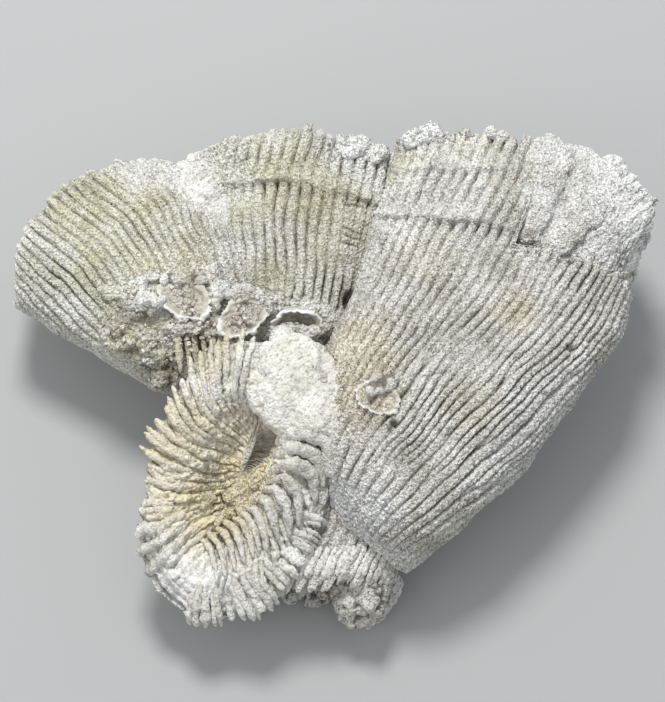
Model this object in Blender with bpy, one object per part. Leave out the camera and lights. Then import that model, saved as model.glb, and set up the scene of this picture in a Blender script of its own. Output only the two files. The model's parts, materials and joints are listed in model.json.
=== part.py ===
"""A fossil coral head: lobes with costae outside and septa inside, forked from one base.

Every lobe is a loft. Its stations are flattened rings, each given by a left edge, a right
edge, a crown height and a belly depth. The rings run from the base out to the rim, and then
turn inwards over it, down to the axial furrow. Costae run along the loft, and the same
ridges cross the rim and go on inside as septa. Uneven lumps are joined on where the growth
thickens, and small oyster shells sit in shallow seats.

The colony is split at its forks: a lobe is cut back by the envelope of each lobe that
overgrows it, a smooth skin a little outside that lobe's ridges. Lengths are in millimetres
until the mesh is made. +X is right, +Y is back and +Z is up. The origin is the middle of
the flat scar that the colony rests on.
"""

import math
import random

import bmesh
import bpy
import numpy as np
from mathutils import Matrix, Vector, noise

MM = 0.001
GAP = 0.3           # clear space left between neighbouring pieces
BLOCK = 120.0       # half the side of the blocks that flat seams are cut from
SQUARENESS = 2.4    # superellipse exponent of a lobe's cross-section
RIM_LIP = 0.8       # how far the rim stands proud of its last station
RIM_LIP_WIDTH = 0.3     # share of the way in to the furrow that the lip takes up
FURROW_BRINK = 0.1      # share of the way in at which the furrow begins to drop
LEDGE_RISE = 0.7    # height of the step where growth stopped and began again
WAVE_OFFSETS = ((0, 0, 0), (31, 7, 3), (5, 43, 17))    # where the noise is read for X, Y and Z
UP = (0.0, -0.35, 0.94)
INNER_ROWS = [0.16, 0.9]    # shares of the way from the rim in to the furrow

# Loft stations: left edge, right edge, crown, belly, bow of the middle along the growth axis.
# Left and right are as seen looking along the growth, with the crown up.
LOBES = {
    "left_lobe": {
        "stations": [
            ((-14, -2, 9), (-4, 14, 14), 8, 10, 0),
            ((-28, 2, 15), (-12, 25, 21), 10, 11, 0),
            ((-42, 9, 17), (-19, 37, 25), 11, 11, 1),
            ((-52, 15, 19), (-25, 45, 26), 10, 11, 4),
            ((-58, 19, 20), (-31, 47, 27), 8, 9, 9),
        ],
        "rows": [0.1, 0.35, 0.6, 0.85, 1.0], "inner": INNER_ROWS, "ledge": 2.0, "lean": 0.0,
        "up": UP, "ribs": 19, "relief": 1.0, "septum": 1.3, "furrow": 4.0,
    },
    "middle_lobe": {
        "stations": [
            ((-14, -2, 8), (0, -4, 8), 7, 13, 0),
            ((-19, 9, 16), (2, 8, 15), 7, 18, 0),
            ((-23, 21, 21), (8, 16, 18), 8, 18, 0),
            ((-26, 35, 23), (12, 30, 22), 9, 14, 2),
            ((-26, 47, 26), (16, 46, 26), 9, 10, 5),
        ],
        "rows": [0.1, 0.45, 0.84, 0.87, 1.0], "inner": INNER_ROWS, "ledge": 0.85, "lean": 0.0,
        "up": UP, "ribs": 19, "relief": 0.9, "septum": 1.4, "furrow": 4.5,
    },
    "right_lobe": {
        "stations": [
            ((2, -24, 12), (12, -34, 9), 8, 11, 0),
            ((0, -17, 22), (22, -29, 17), 11, 23, 0),
            ((0, -7, 29), (35, -17, 20), 12, 28, 0),
            ((2, 5, 31), (49, 0, 23), 13, 27, 0),
            ((7, 18, 32), (57, 13, 26), 12, 20, 0),
            ((11, 32, 34), (61, 27, 30), 11, 15, 2),
            ((14, 46, 35), (63, 36, 32), 9, 11, 4),
        ],
        "rows": [0.05, 0.25, 0.5, 0.8, 0.83, 1.0], "inner": INNER_ROWS, "ledge": 0.81, "lean": 0.0,
        "up": UP, "ribs": 24, "relief": 0.9, "septum": 1.4, "furrow": 4.0,
    },
    "upper_right_lobe": {
        "stations": [
            ((28, 26, 27.5), (37, 8, 25), 9, 15, 0),
            ((40, 38, 32), (52, 14, 27), 9, 14, 0),
            ((48, 43, 34), (59, 20, 29.5), 7.5, 10, 9),
        ],
        "rows": [0.2, 0.6, 1.0], "inner": INNER_ROWS, "ledge": 2.0, "lean": 0.0,
        "up": UP, "ribs": 14, "relief": 0.6, "septum": 1.3, "furrow": 3.5,
    },
    "open_calice": {
        "stations": [
            ((-5, -10, -4), (2, 10, 6), 9, 9, 0),
            ((-14, -25, 2), (-1, 8, 22), 13, 13, 0),
            ((-24, -40.5, 13), (-7.5, 2, 37), 18, 16.5, 0),
        ],
        "rows": [0.1, 0.4, 0.7, 1.0], "inner": [0.14, 0.5, 0.92], "ledge": 2.0, "lean": -0.08,
        "up": (1.0, 0.0, 0.15), "ribs": 28, "relief": 1.0, "septum": 2.2, "furrow": 5.5,
        "lip": 2.2, "lip_width": 0.9, "brink": 0.35,
    },
    "front_lobe": {
        "stations": [
            ((15, -12, 18), (-9, -10, 14), 9.5, 12, 0),
            ((16, -23, 15), (-12, -23, 12), 9.5, 11, 0),
            ((13, -33.5, 11), (-13, -33, 9), 9, 8, 0.5),
        ],
        "rows": [0.3, 0.65, 1.0], "inner": [0.14, 0.3, 0.4], "ledge": 2.0, "lean": 0.0,
        "up": (0, -0.1, 1), "ribs": 10, "relief": 1.0, "septum": 1.2, "furrow": 9.0,
    },
}
ENVELOPE_COLUMNS = 36
LID_ROWS = [0.2, 0.9]                   # rows of the closed lid over an envelope's furrow
LID_BULGE = 3.0                         # how far the lid's middle stands out
CAP_MARGIN = 0.1                        # how much earlier an envelope starts than its lobe
CLEARED_RIDGE = 0.85                    # share of a ridge's full height that an envelope stands out by

LUMP_BOXINESS = 0.8     # under 1 squares a lump's ball a little
LUMP_UNEVENNESS = 0.12  # share of a lump's radius that its surface wanders by
LUMP_DETAIL = 1.6       # how quickly it wanders

# Solid lumps grown onto a lobe: centre, radii, tilt about X in degrees.
SADDLE = ((-24, 35, 25), (9, 13, 8), 0)
TRUNK = ((0, 0, 5), (17, 17, 10), 0)
LUMPS = {
    "left_lobe": [SADDLE, ((-26, 16, 26), (10, 5, 4), 0), ((-31, 9, 23.5), (8, 5, 4), 0)],
    "middle_lobe": [SADDLE, ((-8, 14.5, 24), (12, 5, 4), 0)],
    "open_calice": [TRUNK, ((-5, -1, 32), (7, 10, 4), 28)],
    "front_lobe": [
        ((7.5, -34.5, 9), (5.5, 7, 7.5), 0),
        ((-6, -32, 2.8), (2.3, 3, 2.4), 0),
        ((-0.5, -32.5, 2.8), (2.3, 3, 2.4), 0),
    ],
}

# Oyster shells seated on the skeleton: centre, outward axis, half length, half width, dish depth, turn.
SHELL_THICKNESS = 1.1
SHELL_RINGS = [0.6, 1.0]
SHELL_COLUMNS = 12
SHELL_SEAT = 0.3        # clear space between a shell and its seat
SHELL_SCALLOP = 0.06    # share of its radius that a shell's outline wanders by
SHELL_RIPPLE = 0.35     # how far its rim waves up and down
SHELL_THINNING = 0.45   # share of the thickness lost towards its rim
SHELLS = {
    "oyster_shell_large": ((-25.5, 15.3, 30), (-0.1, -0.2, 1), 5.2, 4.2, 1.6, 0),
    "oyster_shell_round": ((-15, 12.5, 28.6), (0.1, -0.3, 1), 4.8, 3.6, 1.4, 20),
    "oyster_shell_arched": ((-4.6, 11.9, 28.5), (0, -0.75, 0.66), 4.8, 3.2, 1.8, 0),
    "oyster_shell_on_ribs": ((10.6, -8.3, 38.1), (-0.25, -0.35, 0.9), 4.2, 2.8, 1.2, 10),
}

# Flat seams and cuts: a point on the plane, and its normal out of the piece.
SCAR = ((0, 0, -GAP / 2), (0, 0, -1))     # leaves the flat at Z = 0 once cells are shrunk
LEFT_MIDDLE = ((-17, 14, 20), (0.94, 0.33, 0))
STEP_SIDE = ((35, 20, 30), (0.93, -0.37, 0))
STEP_END = ((35, 20, 30), (0.12, 0.99, 0))


def against(seam):
    """The same plane seen from its other side."""
    point, normal = seam
    return point, tuple(-n for n in normal)


# What each piece is kept inside.
CELLS = {
    "left_lobe": [SCAR, LEFT_MIDDLE],
    "middle_lobe": [SCAR, against(LEFT_MIDDLE)],
    "right_lobe": [SCAR],
    "upper_right_lobe": [against(STEP_SIDE), against(STEP_END)],
    "open_calice": [SCAR],
    "front_lobe": [SCAR],
}
# Each lobe gives way to the envelopes of the lobes that overgrow it.
OVERGROWN_BY = {
    "left_lobe": ["open_calice"],
    "middle_lobe": ["open_calice", "right_lobe"],
    "right_lobe": ["open_calice", "front_lobe"],
    "front_lobe": ["open_calice"],
}
# The lobes that carry each shell.
SHELL_SEATS = {
    "left_lobe": ["oyster_shell_large", "oyster_shell_round"],
    "middle_lobe": ["oyster_shell_round", "oyster_shell_arched"],
    "right_lobe": ["oyster_shell_on_ribs"],
}


def smooth(value):
    """Smoothstep of a value clamped to 0..1."""
    t = np.clip(value, 0.0, 1.0)
    return t * t * (3.0 - 2.0 * t)


def unit(vectors):
    return vectors / np.linalg.norm(vectors, axis=-1, keepdims=True)


def through(knots, values, at):
    """A cubic Hermite curve through values at knots, read at any array of places."""
    slopes = np.gradient(values, knots, axis=0)
    i = np.clip(np.searchsorted(knots, at, side="right") - 1, 0, len(knots) - 2)
    step = (knots[i + 1] - knots[i])[..., None]
    t = (at - knots[i])[..., None] / step
    start, end = values[i], values[i + 1]
    return (
        start * (1 + 2 * t) * (1 - t) ** 2
        + slopes[i] * step * t * (1 - t) ** 2
        + end * t * t * (3 - 2 * t)
        + slopes[i + 1] * step * t * t * (t - 1)
    )


def section_columns(half_width, height, shares):
    """Across and up shares on a superellipse arch, at equal steps of length along it."""
    angle = np.linspace(0.0, math.pi, 181)
    across = np.sign(np.cos(angle)) * np.abs(np.cos(angle)) ** (2 / SQUARENESS)
    above = np.sin(angle).clip(0) ** (2 / SQUARENESS)
    run = np.hypot(np.diff(across) * half_width, np.diff(above) * height)
    length = np.concatenate([[0.0], np.cumsum(run)])
    wanted = shares * length[-1]
    return np.interp(wanted, length, across), np.interp(wanted, length, above)


def lobe_surface(lobe, places, columns, furrow):
    """Points of a smooth lobe. Places 0..1 run from base to rim and 1..2 on into the furrow.
    Columns 0..1 cross the crown from right to left, and 1..2 the belly back again."""
    stations = lobe["stations"]
    values = np.array([[*left, *right, *rest] for left, right, *rest in stations], float)
    middles = (values[:, 0:3] + values[:, 3:6]) / 2
    run = np.linalg.norm(np.diff(middles, axis=0), axis=1)
    knots = np.concatenate([[0.0], np.cumsum(run)]) / run.sum()

    outer = np.minimum(places, 1.0)
    inset = np.maximum(places - 1.0, 0.0)
    here = through(knots, values, outer)
    ahead = through(knots, values, np.minimum(outer + 0.02, 1.0)) - through(knots, values, outer - 0.02)
    forward = unit(ahead[:, 0:3] + ahead[:, 3:6])
    half = (here[:, 3:6] - here[:, 0:3]) / 2
    width = np.linalg.norm(half, axis=1)
    up = np.array(lobe["up"], float)
    up = unit(up - half * ((half @ up) / width**2)[:, None])

    points = np.empty((len(places), len(columns), 3))
    crowned = columns < 1.0
    for row in range(len(places)):
        crown, belly, bow = here[row, 6:9]
        shrink = 1.0 - inset[row]
        narrow = 1.0 - inset[row] * (crown + belly) / 2 / width[row]
        across = np.empty(len(columns))
        above = np.empty(len(columns))
        across[crowned], above[crowned] = section_columns(
            width[row] * narrow, crown * shrink, columns[crowned])
        across[~crowned], above[~crowned] = section_columns(
            width[row] * narrow, belly * shrink, columns[~crowned] - 1.0)
        across[~crowned] *= -1.0
        height = np.where(crowned, crown, -belly) * above * shrink
        lip_width = lobe.get("lip_width", RIM_LIP_WIDTH)
        lip = lobe.get("lip", RIM_LIP) * math.sin(math.pi * min(inset[row] / lip_width, 1.0))
        brink = lobe.get("brink", FURROW_BRINK)
        drop = furrow * smooth((inset[row] - brink) / (lobe["inner"][-1] - brink))
        reach = bow * (1 - (across * narrow) ** 2) + lip - drop
        height = height + lobe["lean"] * crown * inset[row]
        points[row] = (
            (here[row, 0:3] + here[row, 3:6]) / 2
            + across[:, None] * half[row] * narrow
            + height[:, None] * up[row]
            + reach[:, None] * forward[row]
        )
    return points


def surface_normals(lobe, places, columns, furrow):
    """Outward normals of the smooth lobe, from small steps along and across it."""
    step = 0.01
    along = lobe_surface(lobe, np.minimum(places + step, 2.0), columns, furrow) - lobe_surface(
        lobe, np.maximum(places - step, 0.0), columns, furrow)
    across = lobe_surface(lobe, places, (columns + step) % 2, furrow) - lobe_surface(
        lobe, places, (columns - step) % 2, furrow)
    return unit(np.cross(along, across))


def ridge_height(lobe, places):
    """How tall the costae or septa are at each place along a lobe."""
    outside = lobe["relief"] * smooth(places / 0.3)
    rim = smooth((places - 1.0) / 0.2)
    inside = lobe["septum"] * (1 - 0.9 * np.maximum(places - 1.0, 0.0))
    return outside * (1 - rim) + inside * rim


def waviness(points):
    """Slow unevenness of the growth: a shift in millimetres for each point."""
    flat = points.reshape(-1, 3)
    shifts = [
        [noise.noise(Vector(point) * 0.06 + offset) + 0.5 * noise.noise(Vector(point) * 0.15 + offset)
         for offset in map(Vector, WAVE_OFFSETS)]
        for point in flat
    ]
    return np.array(shifts).reshape(points.shape)


def ledge_height(lobe, places):
    """The step up onto the later growth, towards the rim."""
    return LEDGE_RISE * smooth((places - lobe["ledge"] + 0.01) / 0.02) * (1 - smooth((places - 0.9) / 0.1))


def lobe_points(name):
    """The ridged surface of one lobe: a grid of points, two columns to each rib."""
    lobe = LOBES[name]
    places = np.array(lobe["rows"] + [1.0 + share for share in lobe["inner"]])
    ribs = lobe["ribs"]
    columns = np.arange(4 * ribs) / (2 * ribs)
    points = lobe_surface(lobe, places, columns, lobe["furrow"])
    normals = surface_normals(lobe, places, columns, lobe["furrow"])
    chance = random.Random(name)
    vigour = np.repeat([chance.uniform(0.75, 1.25) for _ in range(2 * ribs)], 2)
    ridge = np.where(np.arange(4 * ribs) % 2 == 0, 0.5, -0.5) * vigour
    height = ridge_height(lobe, places)[:, None] * ridge[None, :] + ledge_height(lobe, places)[:, None]
    return points + normals * height[..., None] + waviness(points)


def envelope_points(name):
    """A smooth closed skin just outside a lobe's ridges, with a lid over its furrow."""
    lobe = LOBES[name]
    places = np.array(lobe["rows"] + [1.0 + share for share in LID_ROWS])
    places[0] = max(places[0] - CAP_MARGIN, 0.0)
    columns = np.arange(ENVELOPE_COLUMNS) * 2 / ENVELOPE_COLUMNS
    points = lobe_surface(lobe, places, columns, -LID_BULGE)
    normals = surface_normals(lobe, places, columns, -LID_BULGE)
    height = CLEARED_RIDGE * ridge_height(lobe, places) + ledge_height(lobe, places) + GAP
    return points + normals * height[:, None, None] + waviness(points)


def grid_mesh(name, points):
    """A closed mesh of rings, capped at both ends by strips between crown and belly."""
    rows, count = points.shape[:2]
    half = count // 2
    faces = []
    for row in range(rows - 1):
        for column in range(count):
            following = (column + 1) % count
            low, high = row * count, (row + 1) * count
            faces.append((low + column, low + following, high + following, high + column))
    for base, turned in ((0, True), ((rows - 1) * count, False)):
        cap = [(base, base + 1, base + count - 1), (base + half - 1, base + half, base + half + 1)]
        for column in range(1, half - 1):
            cap.append((base + column, base + column + 1, base + count - column - 1, base + count - column))
        faces += [tuple(reversed(face)) for face in cap] if turned else cap
    mesh = bpy.data.meshes.new(name)
    mesh.from_pydata((points.reshape(-1, 3) * MM).tolist(), [], faces)
    return mesh


def facing_out(mesh):
    """Turns every face outwards, and splits the faces into triangles."""
    shape = bmesh.new()
    shape.from_mesh(mesh)
    bmesh.ops.triangulate(shape, faces=shape.faces)
    bmesh.ops.recalc_face_normals(shape, faces=shape.faces)
    shape.to_mesh(mesh)
    shape.free()
    return mesh


def hidden_tool(name, mesh):
    """An object to cut or join with, left out of the part."""
    tool = bpy.data.objects.new(name, mesh)
    bpy.context.scene.collection.objects.link(tool)
    tool.hide_render = True
    tool.display_type = "WIRE"
    return tool


def cell_block(name, planes, shift):
    """A hidden convex block bounded by planes, each moved out by shift, to cut with."""
    shape = bmesh.new()
    bmesh.ops.create_cube(shape, size=2 * BLOCK * MM)
    for point, normal in planes:
        outward = Vector(normal).normalized()
        where = (Vector(point) + outward * shift) * MM
        bmesh.ops.bisect_plane(
            shape, geom=shape.verts[:] + shape.edges[:] + shape.faces[:],
            plane_co=where, plane_no=outward, clear_outer=True)
        rim = [edge for edge in shape.edges if edge.is_boundary]
        bmesh.ops.contextual_create(shape, geom=rim)
    bmesh.ops.recalc_face_normals(shape, faces=shape.faces)
    mesh = bpy.data.meshes.new(name)
    shape.to_mesh(mesh)
    shape.free()
    return hidden_tool(name, mesh)


def lump(name, centre, radii, tilt, grow):
    """A hidden uneven ball to join to a lobe, or grown a little, to cut its neighbour with."""
    shape = bmesh.new()
    bmesh.ops.create_icosphere(shape, subdivisions=2, radius=1.0)
    turn = Matrix.Rotation(math.radians(tilt), 3, "X")
    for vert in shape.verts:
        swell = 1 + LUMP_UNEVENNESS * noise.noise(Vector(vert.co) * LUMP_DETAIL + Vector(centre))
        offset = [
            math.copysign(abs(share) ** LUMP_BOXINESS, share) * (radius * swell + grow)
            for share, radius in zip(vert.co, radii)
        ]
        vert.co = (Vector(centre) + turn @ Vector(offset)) * MM
    mesh = bpy.data.meshes.new(name)
    shape.to_mesh(mesh)
    shape.free()
    return hidden_tool(name, mesh)


def shell_mesh(name, grow):
    """A small dished shell with a rippled rim, or the same grown a little, to cut its seat with."""
    centre, axis, half_length, half_width, depth, turn = SHELLS[name]
    shape = bmesh.new()
    heights = [SHELL_THICKNESS / 2 + grow, -SHELL_THICKNESS / 2 - grow]
    spread = 1 + grow / half_length
    layers = []
    for height in heights:
        layer = [[shape.verts.new((0, 0, height))]]
        for ring in SHELL_RINGS:
            layer.append([])
            for column in range(SHELL_COLUMNS):
                angle = 2 * math.pi * column / SHELL_COLUMNS
                edge = ring * (1 + SHELL_SCALLOP * math.cos(3 * angle + half_length))
                taper = height * (1 - SHELL_THINNING * ring**4)
                ripple = SHELL_RIPPLE * ring**3 * math.sin(4 * angle + half_width)
                rise = depth * (ring * spread) ** 2 + ripple
                layer[-1].append(shape.verts.new((
                    (half_length + grow) * edge * math.cos(angle),
                    (half_width + grow) * edge * math.sin(angle),
                    rise + taper)))
        layers.append(layer)
    for layer in layers:
        for column in range(SHELL_COLUMNS):
            following = (column + 1) % SHELL_COLUMNS
            shape.faces.new((layer[0][0], layer[1][column], layer[1][following]))
            for inner, outer in zip(layer[1:], layer[2:]):
                shape.faces.new((inner[column], outer[column], outer[following], inner[following]))
    for column in range(SHELL_COLUMNS):
        following = (column + 1) % SHELL_COLUMNS
        shape.faces.new((layers[0][-1][column], layers[1][-1][column],
                         layers[1][-1][following], layers[0][-1][following]))
    facing = Vector(axis).to_track_quat("Z", "Y").to_matrix() @ Matrix.Rotation(math.radians(turn), 3, "Z")
    for vert in shape.verts:
        vert.co = (Vector(centre) + facing @ vert.co) * MM
    mesh = bpy.data.meshes.new(name)
    shape.to_mesh(mesh)
    shape.free()
    return facing_out(mesh)


def shape_with(piece, tool, operation):
    boolean = piece.modifiers.new(operation.title() + " " + tool.name, "BOOLEAN")
    boolean.operation = operation
    boolean.object = tool
    boolean.use_self = True


def keep_largest_body(piece):
    """Applies a piece's cuts, and drops the crumbs that they leave beside its main body."""
    bpy.context.view_layer.update()
    evaluated = piece.evaluated_get(bpy.context.evaluated_depsgraph_get())
    shape = bmesh.new()
    shape.from_mesh(evaluated.to_mesh())
    evaluated.to_mesh_clear()
    unseen = set(shape.faces)
    bodies = []
    while unseen:
        body = []
        front = [unseen.pop()]
        while front:
            face = front.pop()
            body.append(face)
            touching = {other for edge in face.edges for other in edge.link_faces} & unseen
            unseen -= touching
            front += touching
        bodies.append(body)
    bodies.sort(key=len)
    for crumb in bodies[:-1]:
        bmesh.ops.delete(shape, geom=crumb, context="FACES")
    bmesh.ops.triangulate(shape, faces=shape.faces)
    piece.modifiers.clear()
    shape.to_mesh(piece.data)
    shape.free()


def material(name, colour, roughness):
    finish = bpy.data.materials.new(name)
    finish.use_nodes = True
    shader = finish.node_tree.nodes["Principled BSDF"]
    shader.inputs["Base Color"].default_value = (*colour, 1.0)
    shader.inputs["Roughness"].default_value = roughness
    shader.inputs["Metallic"].default_value = 0.0
    return finish


def add_piece(name, mesh, finish):
    piece = bpy.data.objects.new(name, mesh)
    bpy.context.scene.collection.objects.link(piece)
    piece.data.materials.append(finish)
    return piece


def main():
    for leftover in list(bpy.data.objects):
        bpy.data.objects.remove(leftover)
    skeleton = material("coral_skeleton", (0.72, 0.69, 0.61), 0.9)
    for name in LOBES:
        piece = add_piece(name, facing_out(grid_mesh(name, lobe_points(name))), skeleton)
        for index, (centre, radii, tilt) in enumerate(LUMPS.get(name, [])):
            shape_with(piece, lump(f"{name}_lump_{index}", centre, radii, tilt, 0.0), "UNION")
        shape_with(piece, cell_block(name + "_cell", CELLS[name], -GAP / 2), "INTERSECT")
        for over in OVERGROWN_BY.get(name, []):
            envelope = facing_out(grid_mesh(f"{name}_under_{over}", envelope_points(over)))
            shape_with(piece, hidden_tool(f"{name}_under_{over}", envelope), "DIFFERENCE")
            for index, (centre, radii, tilt) in enumerate(LUMPS.get(over, [])):
                tool = lump(f"{name}_{over}_lump_{index}", centre, radii, tilt, GAP)
                shape_with(piece, tool, "DIFFERENCE")
    step = cell_block("step_notch", CELLS["upper_right_lobe"], GAP / 2)
    shape_with(bpy.data.objects["right_lobe"], step, "DIFFERENCE")
    shell_lime = material("shell_lime", (0.85, 0.83, 0.77), 0.6)
    for name in SHELLS:
        add_piece(name, shell_mesh(name, 0.0), shell_lime)
    for carrier, carried in SHELL_SEATS.items():
        for name in carried:
            seat = hidden_tool(f"{carrier}_seat_{name}", shell_mesh(name, SHELL_SEAT))
            shape_with(bpy.data.objects[carrier], seat, "DIFFERENCE")
    for name in LOBES:
        keep_largest_body(bpy.data.objects[name])


main()
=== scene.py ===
import itertools
import json
import math
import random

import bpy
import numpy as np
from mathutils import Euler, Matrix, Vector, noise
from mathutils.bvhtree import BVHTree

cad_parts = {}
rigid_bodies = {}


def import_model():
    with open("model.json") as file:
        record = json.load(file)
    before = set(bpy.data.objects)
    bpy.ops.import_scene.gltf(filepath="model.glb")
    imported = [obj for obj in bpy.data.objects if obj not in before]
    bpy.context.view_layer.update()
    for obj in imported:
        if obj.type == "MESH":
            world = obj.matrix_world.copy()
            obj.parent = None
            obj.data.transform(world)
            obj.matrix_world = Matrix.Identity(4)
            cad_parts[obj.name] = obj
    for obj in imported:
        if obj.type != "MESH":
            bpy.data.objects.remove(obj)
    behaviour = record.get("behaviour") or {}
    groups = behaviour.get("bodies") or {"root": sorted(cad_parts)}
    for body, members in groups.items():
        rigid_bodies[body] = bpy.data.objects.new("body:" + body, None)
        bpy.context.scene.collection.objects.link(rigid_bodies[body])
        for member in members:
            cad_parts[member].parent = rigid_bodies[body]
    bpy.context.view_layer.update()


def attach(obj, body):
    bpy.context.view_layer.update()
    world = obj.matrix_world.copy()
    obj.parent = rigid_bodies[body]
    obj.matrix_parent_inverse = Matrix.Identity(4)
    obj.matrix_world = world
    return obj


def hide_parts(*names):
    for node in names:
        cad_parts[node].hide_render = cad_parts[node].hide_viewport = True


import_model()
for thing in bpy.data.objects:
    thing.select_set(False)

# lengths are in millimetres until a mesh is made, unless a note says otherwise
millimetre = 0.001
growthUp = (0.0, -0.35, 0.94)     # the way that most lobes turn their crown
squareness = 2.4                  # superellipse exponent of a lobe's cross-section
scatter = (73856093, 19349663, 83492791, 6971)     # primes that mix whole numbers
waves = {"wide": 0.06, "narrow": 0.15, "narrowShare": 0.5, "offsets": ((0, 0, 0), (31, 7, 3), (5, 43, 17))}


def smoothStep(value):
    t = np.clip(value, 0.0, 1.0)
    return t * t * (3.0 - 2.0 * t)


def unitVectors(vectors):
    return vectors / np.maximum(np.linalg.norm(vectors, axis=-1, keepdims=True), 1e-9)


def chanceAt(cells, seed):
    # the same number from 0 to 1 for the same whole-number cell, every run
    mixed = (cells[..., 0] * scatter[0]) ^ (cells[..., 1] * scatter[1]) ^ (cells[..., 2] * scatter[2])
    mixed = mixed ^ (seed * scatter[3])
    mixed = ((mixed ^ (mixed >> 13)) * 1274126177) & 0x7FFFFFFF
    mixed = ((mixed ^ (mixed >> 15)) * 69069) & 0x7FFFFFFF
    mixed = mixed ^ (mixed >> 11)
    return (mixed & 0xFFFFF) / 0xFFFFF


def softNoise(points, size, seed=1):
    # smooth unevenness from -1 to 1, whose bumps are about this size
    scaled = points / size
    cell = np.floor(scaled).astype(np.int64)
    part = scaled - cell
    part = part * part * (3 - 2 * part)
    total = np.zeros(points.shape[:-1])
    for corner in itertools.product((0, 1), repeat=3):
        weight = np.prod(np.where(np.array(corner) == 1, part, 1 - part), axis=-1)
        total += weight * chanceAt(cell + np.array(corner), seed)
    return 2 * total - 1


def roughNoise(points, size, seed=1):
    # unevenness in three sizes, from -1 to 1
    return (softNoise(points, size, seed) + 0.5 * softNoise(points, size / 2.1, seed + 1)
            + 0.25 * softNoise(points, size / 4.3, seed + 2)) / 1.75


def grains(points, size, seed=1):
    # packed round grains: 1 on top of a grain, 0 in the cracks between
    looseness = 0.75
    reach = 0.45
    scaled = points / size
    cell = np.floor(scaled).astype(np.int64)
    nearest = np.full(points.shape[:-1], 9.0)
    for offset in itertools.product((-1, 0, 1), repeat=3):
        other = cell + np.array(offset)
        centre = [other[..., i] + 0.5 + looseness * (chanceAt(other, seed + i) - 0.5) for i in range(3)]
        nearest = np.minimum(nearest, ((scaled - np.stack(centre, axis=-1)) ** 2).sum(axis=-1))
    return np.sqrt(np.clip(1 - nearest / reach, 0, 1))


def spotMask(points, spots):
    # soft-edged spots: x, y, radius, strength
    mask = np.zeros(points.shape[:-1])
    uneven = 0.35 * roughNoise(points, 5.0, 90)
    for x, y, radius, strength in spots:
        away = np.hypot(points[..., 0] - x, points[..., 1] - y) / radius + uneven
        mask = np.maximum(mask, strength * smoothStep(1.5 - away))
    return mask


def hermite(knots, values, at):
    # a smooth curve through the values
    slopes = np.gradient(values, knots, axis=0)
    i = np.clip(np.searchsorted(knots, at, side="right") - 1, 0, len(knots) - 2)
    step = (knots[i + 1] - knots[i])[..., None]
    t = (at - knots[i])[..., None] / step
    start, end = values[i], values[i + 1]
    return (start * (1 + 2 * t) * (1 - t) ** 2 + slopes[i] * step * t * (1 - t) ** 2
            + end * t * t * (3 - 2 * t) + slopes[i + 1] * step * t * t * (t - 1))


def archColumns(halfWidth, height, shares):
    # places on a squarish arch, spaced evenly along it
    angle = np.linspace(0.0, math.pi, 241)
    across = np.sign(np.cos(angle)) * np.abs(np.cos(angle)) ** (2 / squareness)
    above = np.sin(angle).clip(0) ** (2 / squareness)
    run = np.hypot(np.diff(across) * halfWidth, np.diff(above) * height)
    length = np.concatenate([[0.0], np.cumsum(run)])
    wanted = shares * length[-1]
    return np.interp(wanted, length, across), np.interp(wanted, length, above)


def loftPoints(lobe, places, columns):
    # places 0..1 run from base to rim and on down the furrow; columns 0..1 cross the crown, 1..2 the belly
    values = np.array([[*left, *right, *rest] for left, right, *rest in lobe["stations"]], float)
    middles = (values[:, 0:3] + values[:, 3:6]) / 2
    run = np.linalg.norm(np.diff(middles, axis=0), axis=1)
    knots = np.concatenate([[0.0], np.cumsum(run)]) / run.sum()
    outer = np.minimum(places, 1.0)
    inset = np.maximum(places - 1.0, 0.0)
    here = hermite(knots, values, outer)
    step = 0.02
    ahead = hermite(knots, values, np.minimum(outer + step, 1.0)) - hermite(knots, values, outer - step)
    forward = unitVectors(ahead[:, 0:3] + ahead[:, 3:6])
    half = (here[:, 3:6] - here[:, 0:3]) / 2
    width = np.linalg.norm(half, axis=1)
    up = np.array(lobe["up"], float)
    up = unitVectors(up - half * ((half @ up) / width**2)[:, None])
    points = np.empty((len(places), len(columns), 3))
    crowned = columns < 1.0
    for row in range(len(places)):
        crown, belly, bow = here[row, 6:9]
        shrink = 1.0 - inset[row]
        narrow = 1.0 - inset[row] * (crown + belly) / 2 / width[row]
        across = np.empty(len(columns))
        above = np.empty(len(columns))
        across[crowned], above[crowned] = archColumns(width[row] * narrow, crown * shrink, columns[crowned])
        across[~crowned], above[~crowned] = archColumns(
            width[row] * narrow, belly * shrink, columns[~crowned] - 1.0)
        across[~crowned] *= -1.0
        height = np.where(crowned, crown, -belly) * above * shrink
        lip = lobe["lip"] * math.sin(math.pi * min(inset[row] / lobe["lipWidth"], 1.0))
        reach = bow * (1 - (across * narrow) ** 2) + lip
        brink = lobe["brink"]
        reach = reach - lobe["furrow"] * smoothStep((inset[row] - brink) / (lobe["innerEnd"] - brink))
        height = height + lobe["lean"] * crown * inset[row]
        points[row] = ((here[row, 0:3] + here[row, 3:6]) / 2 + across[:, None] * half[row] * narrow
                       + height[:, None] * up[row] + reach[:, None] * forward[row])
    return points, forward


def slowWaves(points):
    # a wide, gentle unevenness that runs through all lobes
    offsets = [Vector(offset) for offset in waves["offsets"]]
    shifts = []
    for point in points.reshape(-1, 3):
        here = Vector(point)
        wide = np.array([noise.noise(here * waves["wide"] + offset) for offset in offsets])
        narrow = np.array([noise.noise(here * waves["narrow"] + offset) for offset in offsets])
        shifts.append(wide + waves["narrowShare"] * narrow)
    return np.array(shifts).reshape(points.shape)


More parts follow.
